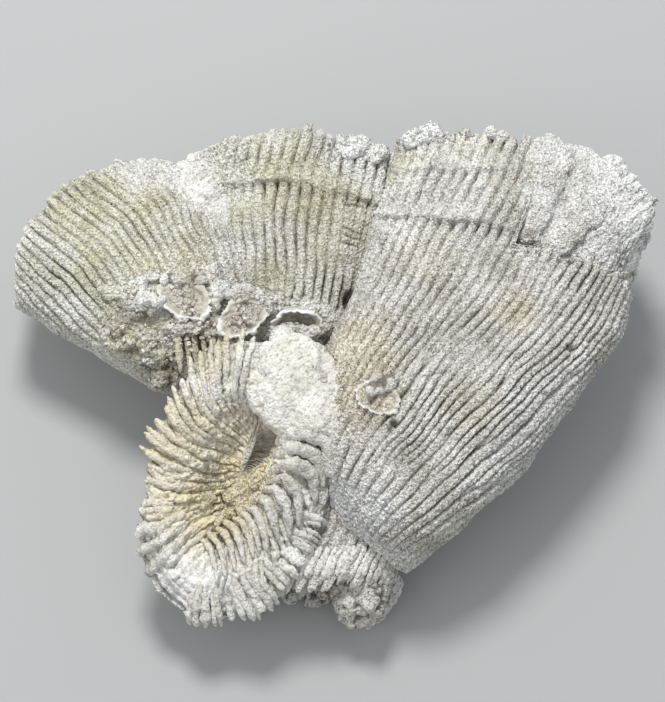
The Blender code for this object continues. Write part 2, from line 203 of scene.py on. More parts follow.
def evenPlaces(lobe, start, end, step):
    # places that lie a step apart along the lobe, and how far along each is
    probe = np.linspace(start, end, 80)
    line, _ = loftPoints(lobe, probe, np.array([0.1, 0.3, 0.5, 0.7, 0.9]))
    run = np.linalg.norm(np.diff(line, axis=0), axis=2).mean(axis=1)
    length = np.concatenate([[0.0], np.cumsum(run)])
    count = max(int(length[-1] / step), 4)
    wanted = np.linspace(0, length[-1], count + 1)
    return np.interp(wanted, length, probe), wanted


def ribChance(number, lane, layer, seed):
    # one number from 0 to 1 for each rib
    return chanceAt(np.stack([number, 0 * number + lane, 0 * number + layer], axis=-1), seed)


def ribProfile(away, top, rounded):
    # 1 on a rib and 0 between ribs: flat-topped, or rounded off by a share
    flat = 1 - smoothStep((away - top) / (0.5 - top))
    return flat + rounded * (1 - np.clip(2 * away, 0, 1) ** 2.2 - flat)


def ribField(lobe, places, runs, columns):
    # ridge height 0..1, bead height 0..1, and the rib's number, for each row and column
    seed = lobe["seed"]
    place = places[:, None]
    run = runs[:, None]
    inset = np.maximum(place - 1.0, 0.0)
    outer = np.interp(1.0, place[:, 0], run[:, 0])
    sweep = np.interp(columns[None, :] % 2, *lobe["sweep"])
    column = columns[None, :] + sweep * (np.minimum(run / outer, 1.0) - 0.5)
    column = column + np.interp(column % 2, *lobe["swirl"]) * inset
    rib = np.interp(column % 2, *lobe["ribMap"]) if "ribMap" in lobe else column * lobe["ribs"]
    # ribs shift in short steps and wander slowly
    flow = np.stack([rib / 2.0, run / 11 + 0 * rib, 0 * rib], axis=-1)
    shift = np.stack([rib / 1.4, run / 2.4 + 0 * rib, 0 * rib + 5], axis=-1)
    rib = rib + lobe["jitter"] * softNoise(shift, 1.0, seed + 3)
    rib = rib + lobe["wander"] * softNoise(flow, 1.0, seed) + 0.05 * softNoise(flow * 9, 1.0, seed + 1)
    # every other rib begins part of the way along, and its neighbours make room
    index = np.floor(rib).astype(np.int64)
    odd = index % 2 == 1
    side = np.where(rib - index > 0.5, 1, -1)
    oddIndex = np.where(odd, index, index + side)
    earliest, latest = lobe["branching"]
    begins = earliest + (latest - earliest) * ribChance(oddIndex % (2 * lobe["ribs"]), 0, 0, seed)
    present = smoothStep((place - begins) / 0.08)
    away = np.abs(rib - index - 0.5)
    fromOdd = np.where(odd, away, 1 - away)
    fromEven = np.where(odd, 1 - away, away) / (2 - present)
    rounded = lobe["roundness"] * smoothStep((place - 0.95) / 0.1)
    evenRidge = ribProfile(fromEven, lobe["ribTop"], rounded)
    oddRidge = present * ribProfile(fromOdd, lobe["ribTop"], rounded)
    ridge = np.maximum(evenRidge, oddRidge)
    onOdd = oddRidge > evenRidge
    # past the rim, slanting septa lie over each other like tiles
    slant = np.interp(column % 2, *lobe["slant"]) * smoothStep((place - 0.97) / 0.06)
    offset = rib - index
    tile = (0.2 + 0.8 * np.clip(offset / 0.8, 0, 1)) * (1 - smoothStep((offset - 0.84) / 0.16))
    ridge = ridge + slant * (tile - ridge)
    number = np.where(onOdd, oddIndex, np.where(odd, index + side, index)) % (2 * lobe["ribs"])
    # a row of beads along each rib
    start = 9 * ribChance(number, 3, 0, seed + 5)
    along = run / lobe["beadStep"] + start + 0.6 * softNoise(flow * 5, 1.0, seed + 2)
    bead = np.floor(along).astype(np.int64)
    size = 0.75 + 0.5 * chanceAt(np.stack([number, bead, 0 * bead], axis=-1), seed + 7)
    middle = np.where(onOdd, fromOdd, fromEven)
    dome = np.clip(1 - ((along - bead - 0.5) / 0.55) ** 2 - (middle / 0.62) ** 2, 0, 1) ** 0.7 * size
    return ridge, dome, number


def setMasks(mesh, masks):
    # one value of each mask at every point of a mesh
    for mask, values in masks.items():
        attribute = mesh.attributes.new(mask, "FLOAT", "POINT")
        attribute.data.foreach_set("value", np.asarray(values, np.float32))


def addPiece(name, points, faces, masks, finish):
    # a smooth mesh from points in millimetres
    mesh = bpy.data.meshes.new(name)
    mesh.from_pydata((points * millimetre).tolist(), [], faces)
    setMasks(mesh, masks)
    mesh.update()
    piece = bpy.data.objects.new(name, mesh)
    bpy.context.scene.collection.objects.link(piece)
    mesh.materials.append(finish)
    mesh.polygons.foreach_set("use_smooth", [True] * len(mesh.polygons))
    return piece


def lobeFaces(rows, crownCount, bellyCount, skip):
    # the crown has every row, the belly every few; faces with extra corners join the two
    coarse = rows[::skip]
    belly = {row: len(rows) * crownCount + i * bellyCount for i, row in enumerate(coarse)}
    faces = []
    for row in rows[:-1]:
        low, high = row * crownCount, (row + 1) * crownCount
        faces += [(low + i, low + i + 1, high + i + 1, high + i) for i in range(crownCount - 1)]
    for row, later in zip(coarse, coarse[1:]):
        low, high = belly[row], belly[later]
        faces += [(low + i, low + i + 1, high + i + 1, high + i) for i in range(bellyCount - 1)]
        between = range(row, later + 1)
        faces.append([i * crownCount + crownCount - 1 for i in reversed(between)] + [low, high])
        faces.append([i * crownCount for i in between] + [high + bellyCount - 1, low + bellyCount - 1])
    total = len(rows) * crownCount + len(coarse) * bellyCount
    first = list(range(crownCount)) + [belly[0] + i for i in range(bellyCount)]
    last = [rows[-1] * crownCount + i for i in range(crownCount)]
    last += [belly[rows[-1]] + i for i in range(bellyCount)]
    for here, following in zip(first, first[1:] + first[:1]):
        faces.append((total, following, here))
    for here, following in zip(last, last[1:] + last[:1]):
        faces.append((total + 1, here, following))
    return faces


def lobeColumns(lobe):
    # columns across the crown and across the belly
    crown = np.linspace(0, 1, lobe["ribs"] * lobe["crownDetail"] + 1)
    belly = 1 + np.arange(1, lobe["ribs"] * lobe["bellyDetail"]) / (lobe["ribs"] * lobe["bellyDetail"])
    return np.where(crown == 1, 1 - 1e-9, crown), belly


def smoothLobe(lobe, places, columns):
    # a lobe without ribs: points, outward normals, growth directions and the rim's direction
    step = 0.004
    points, forward = loftPoints(lobe, places, columns)
    later, _ = loftPoints(lobe, np.minimum(places + step, 1.0 + lobe["innerEnd"] + step), columns)
    earlier, _ = loftPoints(lobe, np.maximum(places - step, 0), columns)
    right, _ = loftPoints(lobe, places, (columns + step) % 2)
    left, _ = loftPoints(lobe, places, (columns - step) % 2)
    normals = unitVectors(np.cross(later - earlier, right - left))
    return points + slowWaves(points), normals, unitVectors(later - earlier), forward


# how dark the groove mask gets: dirt and painted shade between beads and between grains, and a painted shadow
# under a ledge
lobeDirtAndShade = {"beads": 0.42, "grains": 0.4, "ledge": 0.75}


def ribStrength(lobe, at):
    # how far ribs stand out, and septa past the rim
    seed = lobe["seed"]
    place = at["place"]
    strength = lobe["ribHeight"] * smoothStep(place / lobe["fadeIn"]) * (1 - 0.8 * at["soft"])
    strength = strength * (0.75 + 0.5 * softNoise(at["smooth"], 7.0, seed + 11))
    pieces = np.stack([at["number"] * 1.7, at["run"] / 2.8, 0 * place + 11], axis=-1)
    pieces = softNoise(pieces, 1.0, seed + 16)
    strength = strength * (1 + 0.25 * pieces)
    septa = np.interp(at["column"] % 2, *lobe["septa"])
    septa = septa * (1 - 0.6 * np.maximum(place - 1.0, 0))
    septa = septa * (1 + lobe["innerRoughness"] * 0.6 * roughNoise(at["smooth"], 3.5, seed + 13))
    septa = septa * (1 + lobe["breakUp"] * pieces)
    return strength * (1 - at["inside"]) + septa * at["inside"]


def fillGrooves(lobe, at, ridge):
    # stone fills single stretches of groove, and patches of several ribs
    seed = lobe["seed"]
    outside = 1 - at["inside"]
    packed = smoothStep(2.2 * roughNoise(at["smooth"], 4.0, seed + 12) - 0.35) * outside
    gutter = np.stack([at["number"] + 0.5 * (ridge < 0.5), at["run"] / 2.6, 0 * at["place"] + 7], axis=-1)
    filled = smoothStep(1.6 * softNoise(gutter, 1.0, seed + 14) + 0.1) * outside
    ridge = np.maximum(ridge, 0.55 * filled)
    return np.maximum(ridge, 0.75 * lobe["packing"] * packed)


def addLedges(lobe, at, relief, power):
    # growth ledges: a brow that hangs over a notch, with a crumbly band above it
    seed = lobe["seed"]
    place = at["place"]
    column = at["column"]
    for ledge in lobe["ledges"]:
        lane = np.stack([at["number"] / 2.5, 0 * place + 3, 0 * place], axis=-1)
        line = ledge["place"] + ledge["slope"] * (column - 0.5)
        line = line + ledge["unevenness"] * roughNoise(lane, 1.0, seed + 40)
        past = (place - line) * at["outerRun"]
        reach = smoothStep((column - ledge["from"]) / 0.04) * smoothStep((ledge["to"] - column) / 0.04)
        reach = reach * (0.55 + 0.45 * smoothStep(0.5 + 1.5 * softNoise(at["smooth"], 5.0, seed + 41)))
        brow = np.exp(-((past - 0.7) / 0.75) ** 2)
        crumbly = 0.55 + 0.9 * roughNoise(at["smooth"], 1.6, seed + 42)
        band = np.clip(crumbly, 0, 0.85) * reach * np.exp(-(((past - 1.6) / 1.7) ** 4))
        relief["height"] = relief["height"] + power * np.maximum(band - relief["ridge"], 0)
        relief["ridge"] = np.maximum(relief["ridge"], band)
        notch = np.exp(-((past + 0.9) / 1.1) ** 2) * (1 - relief["ridge"])
        relief["height"] = relief["height"] + reach * (ledge["brow"] * brow - ledge["notch"] * notch)
        rise = reach * ledge["rise"] * smoothStep(past / 0.6) * (1 - smoothStep((past - 4) / 5))
        relief["height"] = relief["height"] + rise
        relief["lift"] = relief["lift"] + reach * ledge["overhang"] * brow
        # a painted shadow just below each ledge's brow
        shade = lobeDirtAndShade["ledge"] * reach * np.exp(-((past + 0.25) / 0.5) ** 2)
        relief["shade"] = np.maximum(relief["shade"], shade)


def addPits(lobe, at, relief, normals):
    # pits: x, y, radius and depth, on the upper side alone
    uneven = 0.35 * roughNoise(at["smooth"], 3.0, 77)
    for x, y, radius, depth in lobe["pits"]:
        away = np.hypot(at["smooth"][..., 0] - x, at["smooth"][..., 1] - y) / radius + uneven
        relief["height"] = relief["height"] - depth * smoothStep(1.3 - away) * (normals[..., 2] > 0)


def addLayers(lobe, at, relief):
    # thin layers that lie across the ribs, like the edges of pages
    seed = lobe["seed"]
    column = at["column"] % 2
    for layer in lobe["layers"]:
        reach = smoothStep((column - layer["from"]) / 0.1) * smoothStep((layer["to"] - column) / 0.1)
        reach = reach * smoothStep((at["place"] - layer["after"]) / 0.05)
        beyond = at["place"] - layer["until"] - 0.15 * softNoise(at["smooth"], 5.0, seed + 82)
        reach = reach * (1 - smoothStep(beyond / 0.08))
        stack = at["run"] / layer["step"] + 0.9 * roughNoise(at["smooth"], 7.0, seed + 80)
        stack = stack - np.floor(stack)
        edge = stack**1.6 * (1 - smoothStep((stack - 0.85) / 0.15))
        ragged = 0.6 + 0.8 * softNoise(at["smooth"], 2.4, seed + 81)
        shelf = reach * layer["height"] * (edge * ragged - 0.2)
        relief["height"] = relief["height"] * (1 - 0.75 * reach) + shelf
        filled = np.clip(edge * 1.4 + layer["filled"] * ragged, 0, 1)
        relief["ridge"] = relief["ridge"] + reach * (filled - relief["ridge"])


def rimTeeth(lobe, at, ridge):
    # how far the rim reaches forward: a tooth on each rib, and a ragged edge
    seed = lobe["seed"]
    place = at["place"]
    length = 0.2 + 1.1 * ribChance(at["number"], 4, 1, seed + 50) ** 1.5
    teeth = lobe["toothLength"] * ridge**2 * length
    teeth = teeth * smoothStep((place - 0.93) / 0.07) * (1 - smoothStep((place - 1.05) / 0.12))
    rim = smoothStep((place - 0.8) / 0.2) * (1 - 0.6 * at["inside"])
    teeth = teeth + lobe["ragged"] * rim * (roughNoise(at["smooth"], 6.0, seed + 61) - 0.1)
    return teeth * (1 + 0.6 * roughNoise(at["smooth"], 2.0, seed + 60))


def grooveMask(lobe, at, relief, strength, coarse, bead, grain):
    # dirt and painted shade between ribs, beads and grains, and a painted shadow under ledges
    ridge = relief["ridge"]
    outside = 1 - at["inside"]
    groove = smoothStep((0.7 - ridge) / 0.6) * np.clip(strength, 0, 1) * (0.75 + 0.25 * coarse) * lobe["dirtAndShade"]
    groove = groove * (1 - lobe["innerLight"] * at["inside"])
    beads = lobeDirtAndShade["beads"] * smoothStep((0.4 - bead) / 0.4) * (1 - at["soft"]) * outside
    groove = np.maximum(groove, beads)
    groove = np.maximum(groove, lobeDirtAndShade["grains"] * smoothStep((0.45 - grain) / 0.45))
    return np.maximum(groove, relief["shade"] * (0.5 + 0.5 * (1 - ridge)))


def lobeShape(lobe, places, runs, columns):
    # points and masks of a ribbed lobe at these rows and columns
    seed = lobe["seed"]
    smooth, normals, growth, forward = smoothLobe(lobe, places, columns)
    ridge, bead, number = ribField(lobe, places, runs, columns)
    place = places[:, None] + 0 * columns[None, :]
    inside = smoothStep((place - 1.0) / 0.15)
    soft = spotMask(smooth, lobe["softSpots"])
    at = {
        "smooth": smooth, "place": place, "run": runs[:, None] + 0 * place, "column": columns[None, :],
        "number": number, "inside": inside, "soft": soft, "outerRun": np.interp(1.0, places, runs),
    }
    strength = ribStrength(lobe, at)
    power = strength * (0.75 + 0.5 * ribChance(number, 8, 0, seed))
    grain = grains(smooth, lobe["grainSize"], seed + 20)
    coarse = roughNoise(smooth, 3.0, seed + 30) * (1 + inside * lobe["innerRoughness"])
    ridge = fillGrooves(lobe, at, ridge)
    height = power * (ridge - 0.6)
    height = height + lobe["beadHeight"] * (bead - 0.6) * ridge * (1 - 0.5 * inside) * (1 - 0.8 * soft)
    granular = lobe["grainHeight"] + 0.2 * soft + lobe["innerGrain"] * inside
    height = height + granular * (grain - 0.6) + lobe["coarseHeight"] * coarse
    crumble = lobe["crumble"] * inside * roughNoise(smooth, 1.7, seed + 15)
    height = height + crumble * (0.3 + 0.7 * ridge)
    level = np.zeros(place.shape)
    relief = {"height": height, "ridge": ridge, "lift": level, "shade": level}
    addLedges(lobe, at, relief, power)
    addPits(lobe, at, relief, normals)
    addLayers(lobe, at, relief)
    points = smooth + normals * relief["height"][..., None] - growth * relief["lift"][..., None]
    points = points + forward[:, None, :] * rimTeeth(lobe, at, relief["ridge"])[..., None]
    if "reshape" in lobe:
        points = lobe["reshape"](points, relief["ridge"], smooth, number)
    points[..., 2] = np.maximum(points[..., 2], 0.0)
    masks = {"groove": grooveMask(lobe, at, relief, strength, coarse, bead, grain), "inner": inside}
    for mask, spots in lobe["tints"].items():
        masks[mask] = spotMask(smooth, spots)
    return points, masks


def coralLobe(name, lobe, finish):
    # one ribbed lobe, from its base over the rim and down into the furrow
    skip = lobe["bellySkip"]
    outerPlaces, outerRuns = evenPlaces(lobe, lobe["start"], 1.0, lobe["rowStep"])
    innerPlaces, innerRuns = evenPlaces(lobe, 1.0, 1.0 + lobe["innerEnd"], lobe["innerStep"])
    places = np.concatenate([outerPlaces, innerPlaces[1:]])
    runs = np.concatenate([outerRuns, outerRuns[-1] + innerRuns[1:]])
    keep = (len(places) - 1) // skip * skip + 1
    places, runs = places[:keep], runs[:keep]
    crown, belly = lobeColumns(lobe)
    crownPoints, crownMasks = lobeShape(lobe, places, runs, crown)
    bellyPoints, bellyMasks = lobeShape(lobe, places[::skip], runs[::skip], belly)
    flat = np.concatenate([crownPoints.reshape(-1, 3), bellyPoints.reshape(-1, 3)])
    ends = [np.concatenate([crownPoints[row], bellyPoints[row]]).mean(axis=0) for row in (0, -1)]
    flat = np.concatenate([flat, ends])
    masks = {}
    for mask in crownMasks:
        masks[mask] = np.concatenate([crownMasks[mask].ravel(), bellyMasks[mask].ravel(), [0, 0]])
    faces = lobeFaces(range(len(places)), len(crown), len(belly), skip)
    piece = addPiece(name, flat, faces, masks, finish)
    print(f"{name}: {sum(len(face) - 2 for face in faces)} triangles, {len(places)} rows")
    return piece


def nodeIn(tree, kind, **values):
    # a new node; a value whose name starts with in_ sets an input
    node = tree.nodes.new(kind)
    for key, value in values.items():
        if key.startswith("in_"):
            node.inputs[key[3:].replace("_", " ")].default_value = value
        else:
            setattr(node, key, value)
    return node


def feed(tree, sockets, values):
    # links each socket to a node's output, or gives it a plain value
    for socket, value in zip(sockets, values):
        if isinstance(value, bpy.types.NodeSocket):
            tree.links.new(value, socket)
        else:
            socket.default_value = value


def mixColour(tree, share, first, second):
    mix = tree.nodes.new("ShaderNodeMix")
    mix.data_type = "RGBA"
    feed(tree, (mix.inputs[0], mix.inputs[6], mix.inputs[7]), (share, first, second))
    return mix.outputs[2]


def mathNode(tree, operation, first, second=0.5):
    node = tree.nodes.new("ShaderNodeMath")
    node.operation = operation
    feed(tree, (node.inputs[0], node.inputs[1]), (first, second))
    return node.outputs[0]


def times(tree, first, second):
    return mathNode(tree, "MULTIPLY", first, second)


def oneLess(tree, value):
    # 1 less this value
    return mathNode(tree, "SUBTRACT", 1.0, value)


def spread(tree, value, low, high):
    # stretches a value so that low becomes 0 and high becomes 1
    node = tree.nodes.new("ShaderNodeMapRange")
    tree.links.new(value, node.inputs[0])
    node.inputs[1].default_value = low
    node.inputs[2].default_value = high
    return node.outputs[0]


def attributeOf(tree, label):
    node = tree.nodes.new("ShaderNodeAttribute")
    node.attribute_name = label
    return node.outputs["Fac"]


def buildGrit():
    # stony grit: masks for mottle, speckle, pepper and cracks, and a height for the bump
    group = bpy.data.node_groups.new("stoneGrit", "ShaderNodeTree")
    size = group.interface.new_socket("Size", in_out="INPUT", socket_type="NodeSocketFloat")
    size.default_value = 1.0
    for label in ("Mottle", "Speckle", "Pepper", "Crack", "Height"):
        group.interface.new_socket(label, in_out="OUTPUT", socket_type="NodeSocketFloat")
    entry = group.nodes.new("NodeGroupInput")
    leave = group.nodes.new("NodeGroupOutput")
    place = group.nodes.new("ShaderNodeTexCoord")
    scaled = nodeIn(group, "ShaderNodeVectorMath", operation="SCALE")
    group.links.new(place.outputs["Object"], scaled.inputs[0])
    group.links.new(entry.outputs["Size"], scaled.inputs["Scale"])
    wide = nodeIn(group, "ShaderNodeTexNoise", in_Scale=130.0, in_Detail=5.0, in_Roughness=0.62)
    fine = nodeIn(group, "ShaderNodeTexNoise", in_Scale=2300.0, in_Detail=2.0, in_Roughness=0.7)
    pores = nodeIn(group, "ShaderNodeTexNoise", in_Scale=900.0, in_Detail=2.0, in_Roughness=0.6,
                   in_Distortion=0.6)
    granules = nodeIn(group, "ShaderNodeTexVoronoi", in_Scale=1900.0)
    specks = nodeIn(group, "ShaderNodeTexVoronoi", in_Scale=2300.0)
    for texture in (wide, fine, pores, granules, specks):
        group.links.new(scaled.outputs[0], texture.inputs["Vector"])
    tone = nodeIn(group, "ShaderNodeSeparateColor")
    group.links.new(specks.outputs["Color"], tone.inputs[0])
    # cracks run along the pores' middle value in some places, and between granules
    patch = spread(group, wide.outputs["Fac"], 0.38, 0.58)
    crack = mathNode(group, "ABSOLUTE", mathNode(group, "SUBTRACT", pores.outputs["Fac"], 0.5))
    crack = times(group, oneLess(group, spread(group, crack, 0.004, 0.05)), patch)
    seams = times(group, spread(group, granules.outputs["Distance"], 0.52, 0.72), 0.8)
    crack = mathNode(group, "MAXIMUM", crack, seams)
    mottle = spread(group, wide.outputs["Fac"], 0.35, 0.68)
    speckle = spread(group, tone.outputs["Red"], 0.55, 0.85)
    # pepper: small dots, thinned out twice
    pepper = oneLess(group, spread(group, specks.outputs["Distance"], 0.3, 0.5))
    pepper = times(group, pepper, spread(group, tone.outputs["Green"], 0.62, 0.8))
    pepper = times(group, pepper, spread(group, wide.outputs["Fac"], 0.25, 0.6))
    rise = times(group, fine.outputs["Fac"], 0.8)
    height = mathNode(group, "ADD", times(group, pores.outputs["Fac"], 0.7), rise)
    for dip, depth in ((granules.outputs["Distance"], 0.9), (crack, 0.3), (pepper, 0.8)):
        height = mathNode(group, "SUBTRACT", height, times(group, dip, depth))
    results = {"Mottle": mottle, "Speckle": speckle, "Crack": crack, "Pepper": pepper, "Height": height}
    for label, value in results.items():
        group.links.new(value, leave.inputs[label])
    return group


def startFinish(name, grit, size):
    # a new material, its nodes, and the masks of its grit
    material = bpy.data.materials.new(name)
    material.use_nodes = True
    gritNode = material.node_tree.nodes.new("ShaderNodeGroup")
    gritNode.node_tree = grit
    gritNode.inputs["Size"].default_value = size
    return material, material.node_tree, gritNode.outputs


def endFinish(tree, colour, gloss, height, look):
    # colour, roughness, bump and shine
    shader = tree.nodes["Principled BSDF"]
    roughness = mathNode(tree, "ADD", times(tree, gloss, look["roughnessChange"]), look["roughness"])
    bump = nodeIn(tree, "ShaderNodeBump", in_Strength=look["bump"], in_Distance=look["bumpDepth"])
    tree.links.new(height, bump.inputs["Height"])
    tree.links.new(colour, shader.inputs["Base Color"])
    tree.links.new(roughness, shader.inputs["Roughness"])
    tree.links.new(bump.outputs["Normal"], shader.inputs["Normal"])
    shader.inputs["Specular IOR Level"].default_value = look["specular"]


coralColours = {
    "chalk": (0.84, 0.82, 0.77, 1),
    "bone": (0.62, 0.59, 0.51, 1),
    "white": (0.90, 0.905, 0.895, 1),
    # groove: the dark of dirt and painted shade in grooves and hollows
    "groove": (0.13, 0.11, 0.08, 1),
    "crack": (0.27, 0.23, 0.17, 1),
    "green": (0.74, 0.72, 0.47, 1),
    "ochre": (0.78, 0.66, 0.38, 1),
    # brown: real stains and pits, and a painted shadow line in the rubble
    "brown": (0.17, 0.13, 0.085, 1),
    "grey": (0.34, 0.31, 0.25, 1),
}
coralLook = {
    "gritSize": 1.0,
    "speckle": 0.4,
    "crack": 0.45,
    "pepper": 0.55,
    "innerCalm": 0.6,             # the share of grit that the inside of a calice loses
    "greenSpread": (-0.3, 0.9),   # the mottle values between which green appears
    # how strongly the groove mask's dirt and painted shade darken the colour
    "dirtAndShade": 0.9,
    "dirtAndShadePower": 1.2,
    "roughness": 0.82,
    "roughnessChange": 0.1,
    "bump": 0.9,
    "bumpDepth": 0.0004,          # metres
    "specular": 0.25,
}


def coralFinish(name, colours, look, grit):
    # chalk and bone, tinted by masks, with cracks and pepper, then dirt and painted shade, on top
    material, tree, masks = startFinish(name, grit, look["gritSize"])
    colour = mixColour(tree, masks["Mottle"], colours["chalk"], colours["bone"])
    colour = mixColour(tree, times(tree, masks["Speckle"], look["speckle"]), colour, colours["white"])
    tinted = times(tree, attributeOf(tree, "green"), spread(tree, masks["Mottle"], *look["greenSpread"]))
    colour = mixColour(tree, tinted, colour, colours["green"])
    for tint in ("white", "ochre", "grey"):
        colour = mixColour(tree, attributeOf(tree, tint), colour, colours[tint])
    gritty = oneLess(tree, times(tree, attributeOf(tree, "inner"), look["innerCalm"]))
    for mask, strength in (("Crack", look["crack"]), ("Pepper", look["pepper"])):
        dark = times(tree, times(tree, masks[mask], strength), gritty)
        colour = mixColour(tree, dark, colour, colours["crack"])
    # the groove mask darkens the colour: dirt and painted shade in grooves, hollows and under ledges
    dirtAndShade = mathNode(tree, "POWER", attributeOf(tree, "groove"), look["dirtAndShadePower"])
    colour = mixColour(tree, times(tree, dirtAndShade, look["dirtAndShade"]), colour, colours["groove"])
    # brown: real stains and pits, and a painted shadow line under the large shell
    colour = mixColour(tree, attributeOf(tree, "brown"), colour, colours["brown"])
    endFinish(tree, colour, masks["Mottle"], times(tree, masks["Height"], gritty), look)
    return material


stoneGrit = buildGrit()
coralStone = coralFinish("coralStone", coralColours, coralLook, stoneGrit)
print("coral finish made")


# What every lobe has, unless its own table says otherwise. Places run from 0 at a lobe's base to 1 at its
# rim and on into the furrow; columns run from 0 to 1 over the crown and from 1 to 2 under the belly.
# Sweep, swirl, slant and septa are curves: columns, then the value at each.
commonRibs = {
    "up": growthUp, "lean": 0.0,
    "rowStep": 0.28, "innerStep": 0.45, "innerEnd": 0.9,
    "crownDetail": 7, "bellyDetail": 4, "bellySkip": 3,
    # the rim, and the brink where the fall into the furrow begins
    "lip": 0.8, "lipWidth": 0.3, "brink": 0.1,
    "toothLength": 1.0, "ragged": 0.5,
    # ribs outside and septa inside
    "ribHeight": 1.3, "ribTop": 0.32, "fadeIn": 0.2, "branching": (0.1, 0.5),
    "wander": 0.14, "jitter": 0.06, "roundness": 0.0, "packing": 1.0,
    "sweep": ((0, 2), (0, 0)), "swirl": ((0, 2), (0, 0)), "slant": ((0, 2), (0, 0)),
    "septa": ((0, 2), (1.2, 1.2)), "breakUp": 0.0,
    # beads, grains and rough stone
    "beadStep": 0.95, "beadHeight": 0.5,
    "grainSize": 0.7, "grainHeight": 0.17, "innerGrain": 0.0,
    "coarseHeight": 0.34, "innerRoughness": 0.0, "crumble": 0.0,
    # dirt and painted shade in the grooves, and how much lighter they are inside
    "dirtAndShade": 1.0, "innerLight": 0.0,
    # softSpots and tints: x, y, radius, strength; pits: x, y, radius, depth
    "softSpots": [], "pits": [], "ledges": [], "layers": [], "tints": {},
}

# stations: left edge, right edge, crown height, belly depth, and how far the middle bows forward
leftLobe = {
    **commonRibs, "seed": 3, "ribs": 28, "crownDetail": 8, "start": 0.1, "furrow": 4.0,
    "ribHeight": 1.15, "toothLength": 0.9, "ragged": 1.6,
    "sweep": ((0, 0.3, 0.6, 0.9, 1.2, 1.6, 2), (0.34, 0.33, 0.27, 0.18, 0.16, 0.3, 0.34)),
    "stations": [
        ((-14, -2, 9), (-4, 14, 14), 8, 10, 0),
        ((-28, 2, 15), (-12, 25, 21), 10, 11, 0),
        ((-42, 9, 17), (-19, 37, 25), 11, 11, 1),
        ((-52, 15, 19), (-25, 45, 26), 10, 11, 4),
        ((-58, 19, 20), (-31, 47, 27), 8, 9, 9),
    ],
    "softSpots": [(-32, 12, 8, 0.9), (-23, 8, 9, 0.9), (-32, 44, 7, 0.8)],
    "tints": {
        "green": [(-42, 28, 20, 0.5), (-45, 30, 8, 0.95), (-36, 38, 8, 0.8), (-34, 22, 6, 0.95),
                  (-48, 22, 4, 0.8)],
        "white": [(-33, 45, 7, 0.7), (-52, 12, 9, 0.5)],
        "ochre": [(-25, 22, 5, 0.15)],
        "grey": [(-25, 8, 8, 0.5)],
    },
    "pits": [(-23.5, 6.5, 3.5, 2.0), (-17.5, 6.0, 3.0, 2.0)],
}

middleLobe = {
    **commonRibs, "seed": 5, "ribs": 22, "crownDetail": 8, "start": 0.1, "furrow": 4.5,
    "dirtAndShade": 1.25, "packing": 0.7,
    "stations": [
        ((-14, -2, 8), (0, -4, 8), 7, 13, 0),
        ((-19, 9, 16), (2, 8, 15), 7, 18, 0),
        ((-23, 21, 21), (8, 16, 18), 8, 18, 0),
        ((-26, 35, 23), (12, 30, 22), 9, 14, 2),
        ((-26, 47, 26), (16, 46, 26), 9, 10, 5),
    ],
    "ledges": [
        {"place": 0.85, "slope": 0.03, "unevenness": 0.015, "from": 0.1, "to": 0.9,
         "brow": 0.4, "notch": 1.3, "rise": 0.7, "overhang": 0.4},
    ],
    "softSpots": [(-21, 41, 6, 0.9), (-22, 30, 5, 0.9)],
    "layers": [
        {"from": 0.06, "to": 0.36, "after": 0.58, "until": 0.73, "step": 1.3, "height": 0.45, "filled": 0.4},
    ],
    "tints": {
        "green": [(-12, 40, 9, 0.8), (2, 34, 9, 0.7), (-6, 22, 8, 0.5)],
        "white": [(8, 46, 6, 0.8), (-20, 42, 6, 0.45), (-16, 47, 4, 0.5)],
        "grey": [(10, 24, 4, 0.5), (0, 25, 15, 0.16)],
        "brown": [(5.8, 17.5, 2.4, 0.7), (3.4, 12.5, 2.4, 0.7), (10.4, 29, 1.4, 0.4), (8.4, 22.5, 1.6, 0.5)],
    },
    "pits": [(5.8, 17.5, 2.0, 2.4), (3.4, 12.5, 2.0, 2.2), (8.4, 22.5, 1.5, 1.8), (10.4, 29, 1.3, 1.2)],
}


def cutBackToStep(points, ridge, smooth, number):
    # the fan ends in a toothed step where the upper right lobe grows out from under it
    corner = (35, 20)
    teeth = 1.3 * ridge**2 * ribChance(number, 0, 9, 70)
    uneven = 0.7 * roughNoise(smooth, 3.0, 71)
    side = (points[..., 0] - corner[0]) * 0.93 - (points[..., 1] - corner[1]) * 0.37 - uneven
    end = (points[..., 0] - corner[0]) * 0.12 + (points[..., 1] - corner[1]) * 0.99 - uneven - teeth
    beyond = (side > 0) & (end > 0)
    back = np.array([1.41, 0.84, 0.0]) * np.minimum(side, end)[..., None]
    return np.where(beyond[..., None], points - back, points)


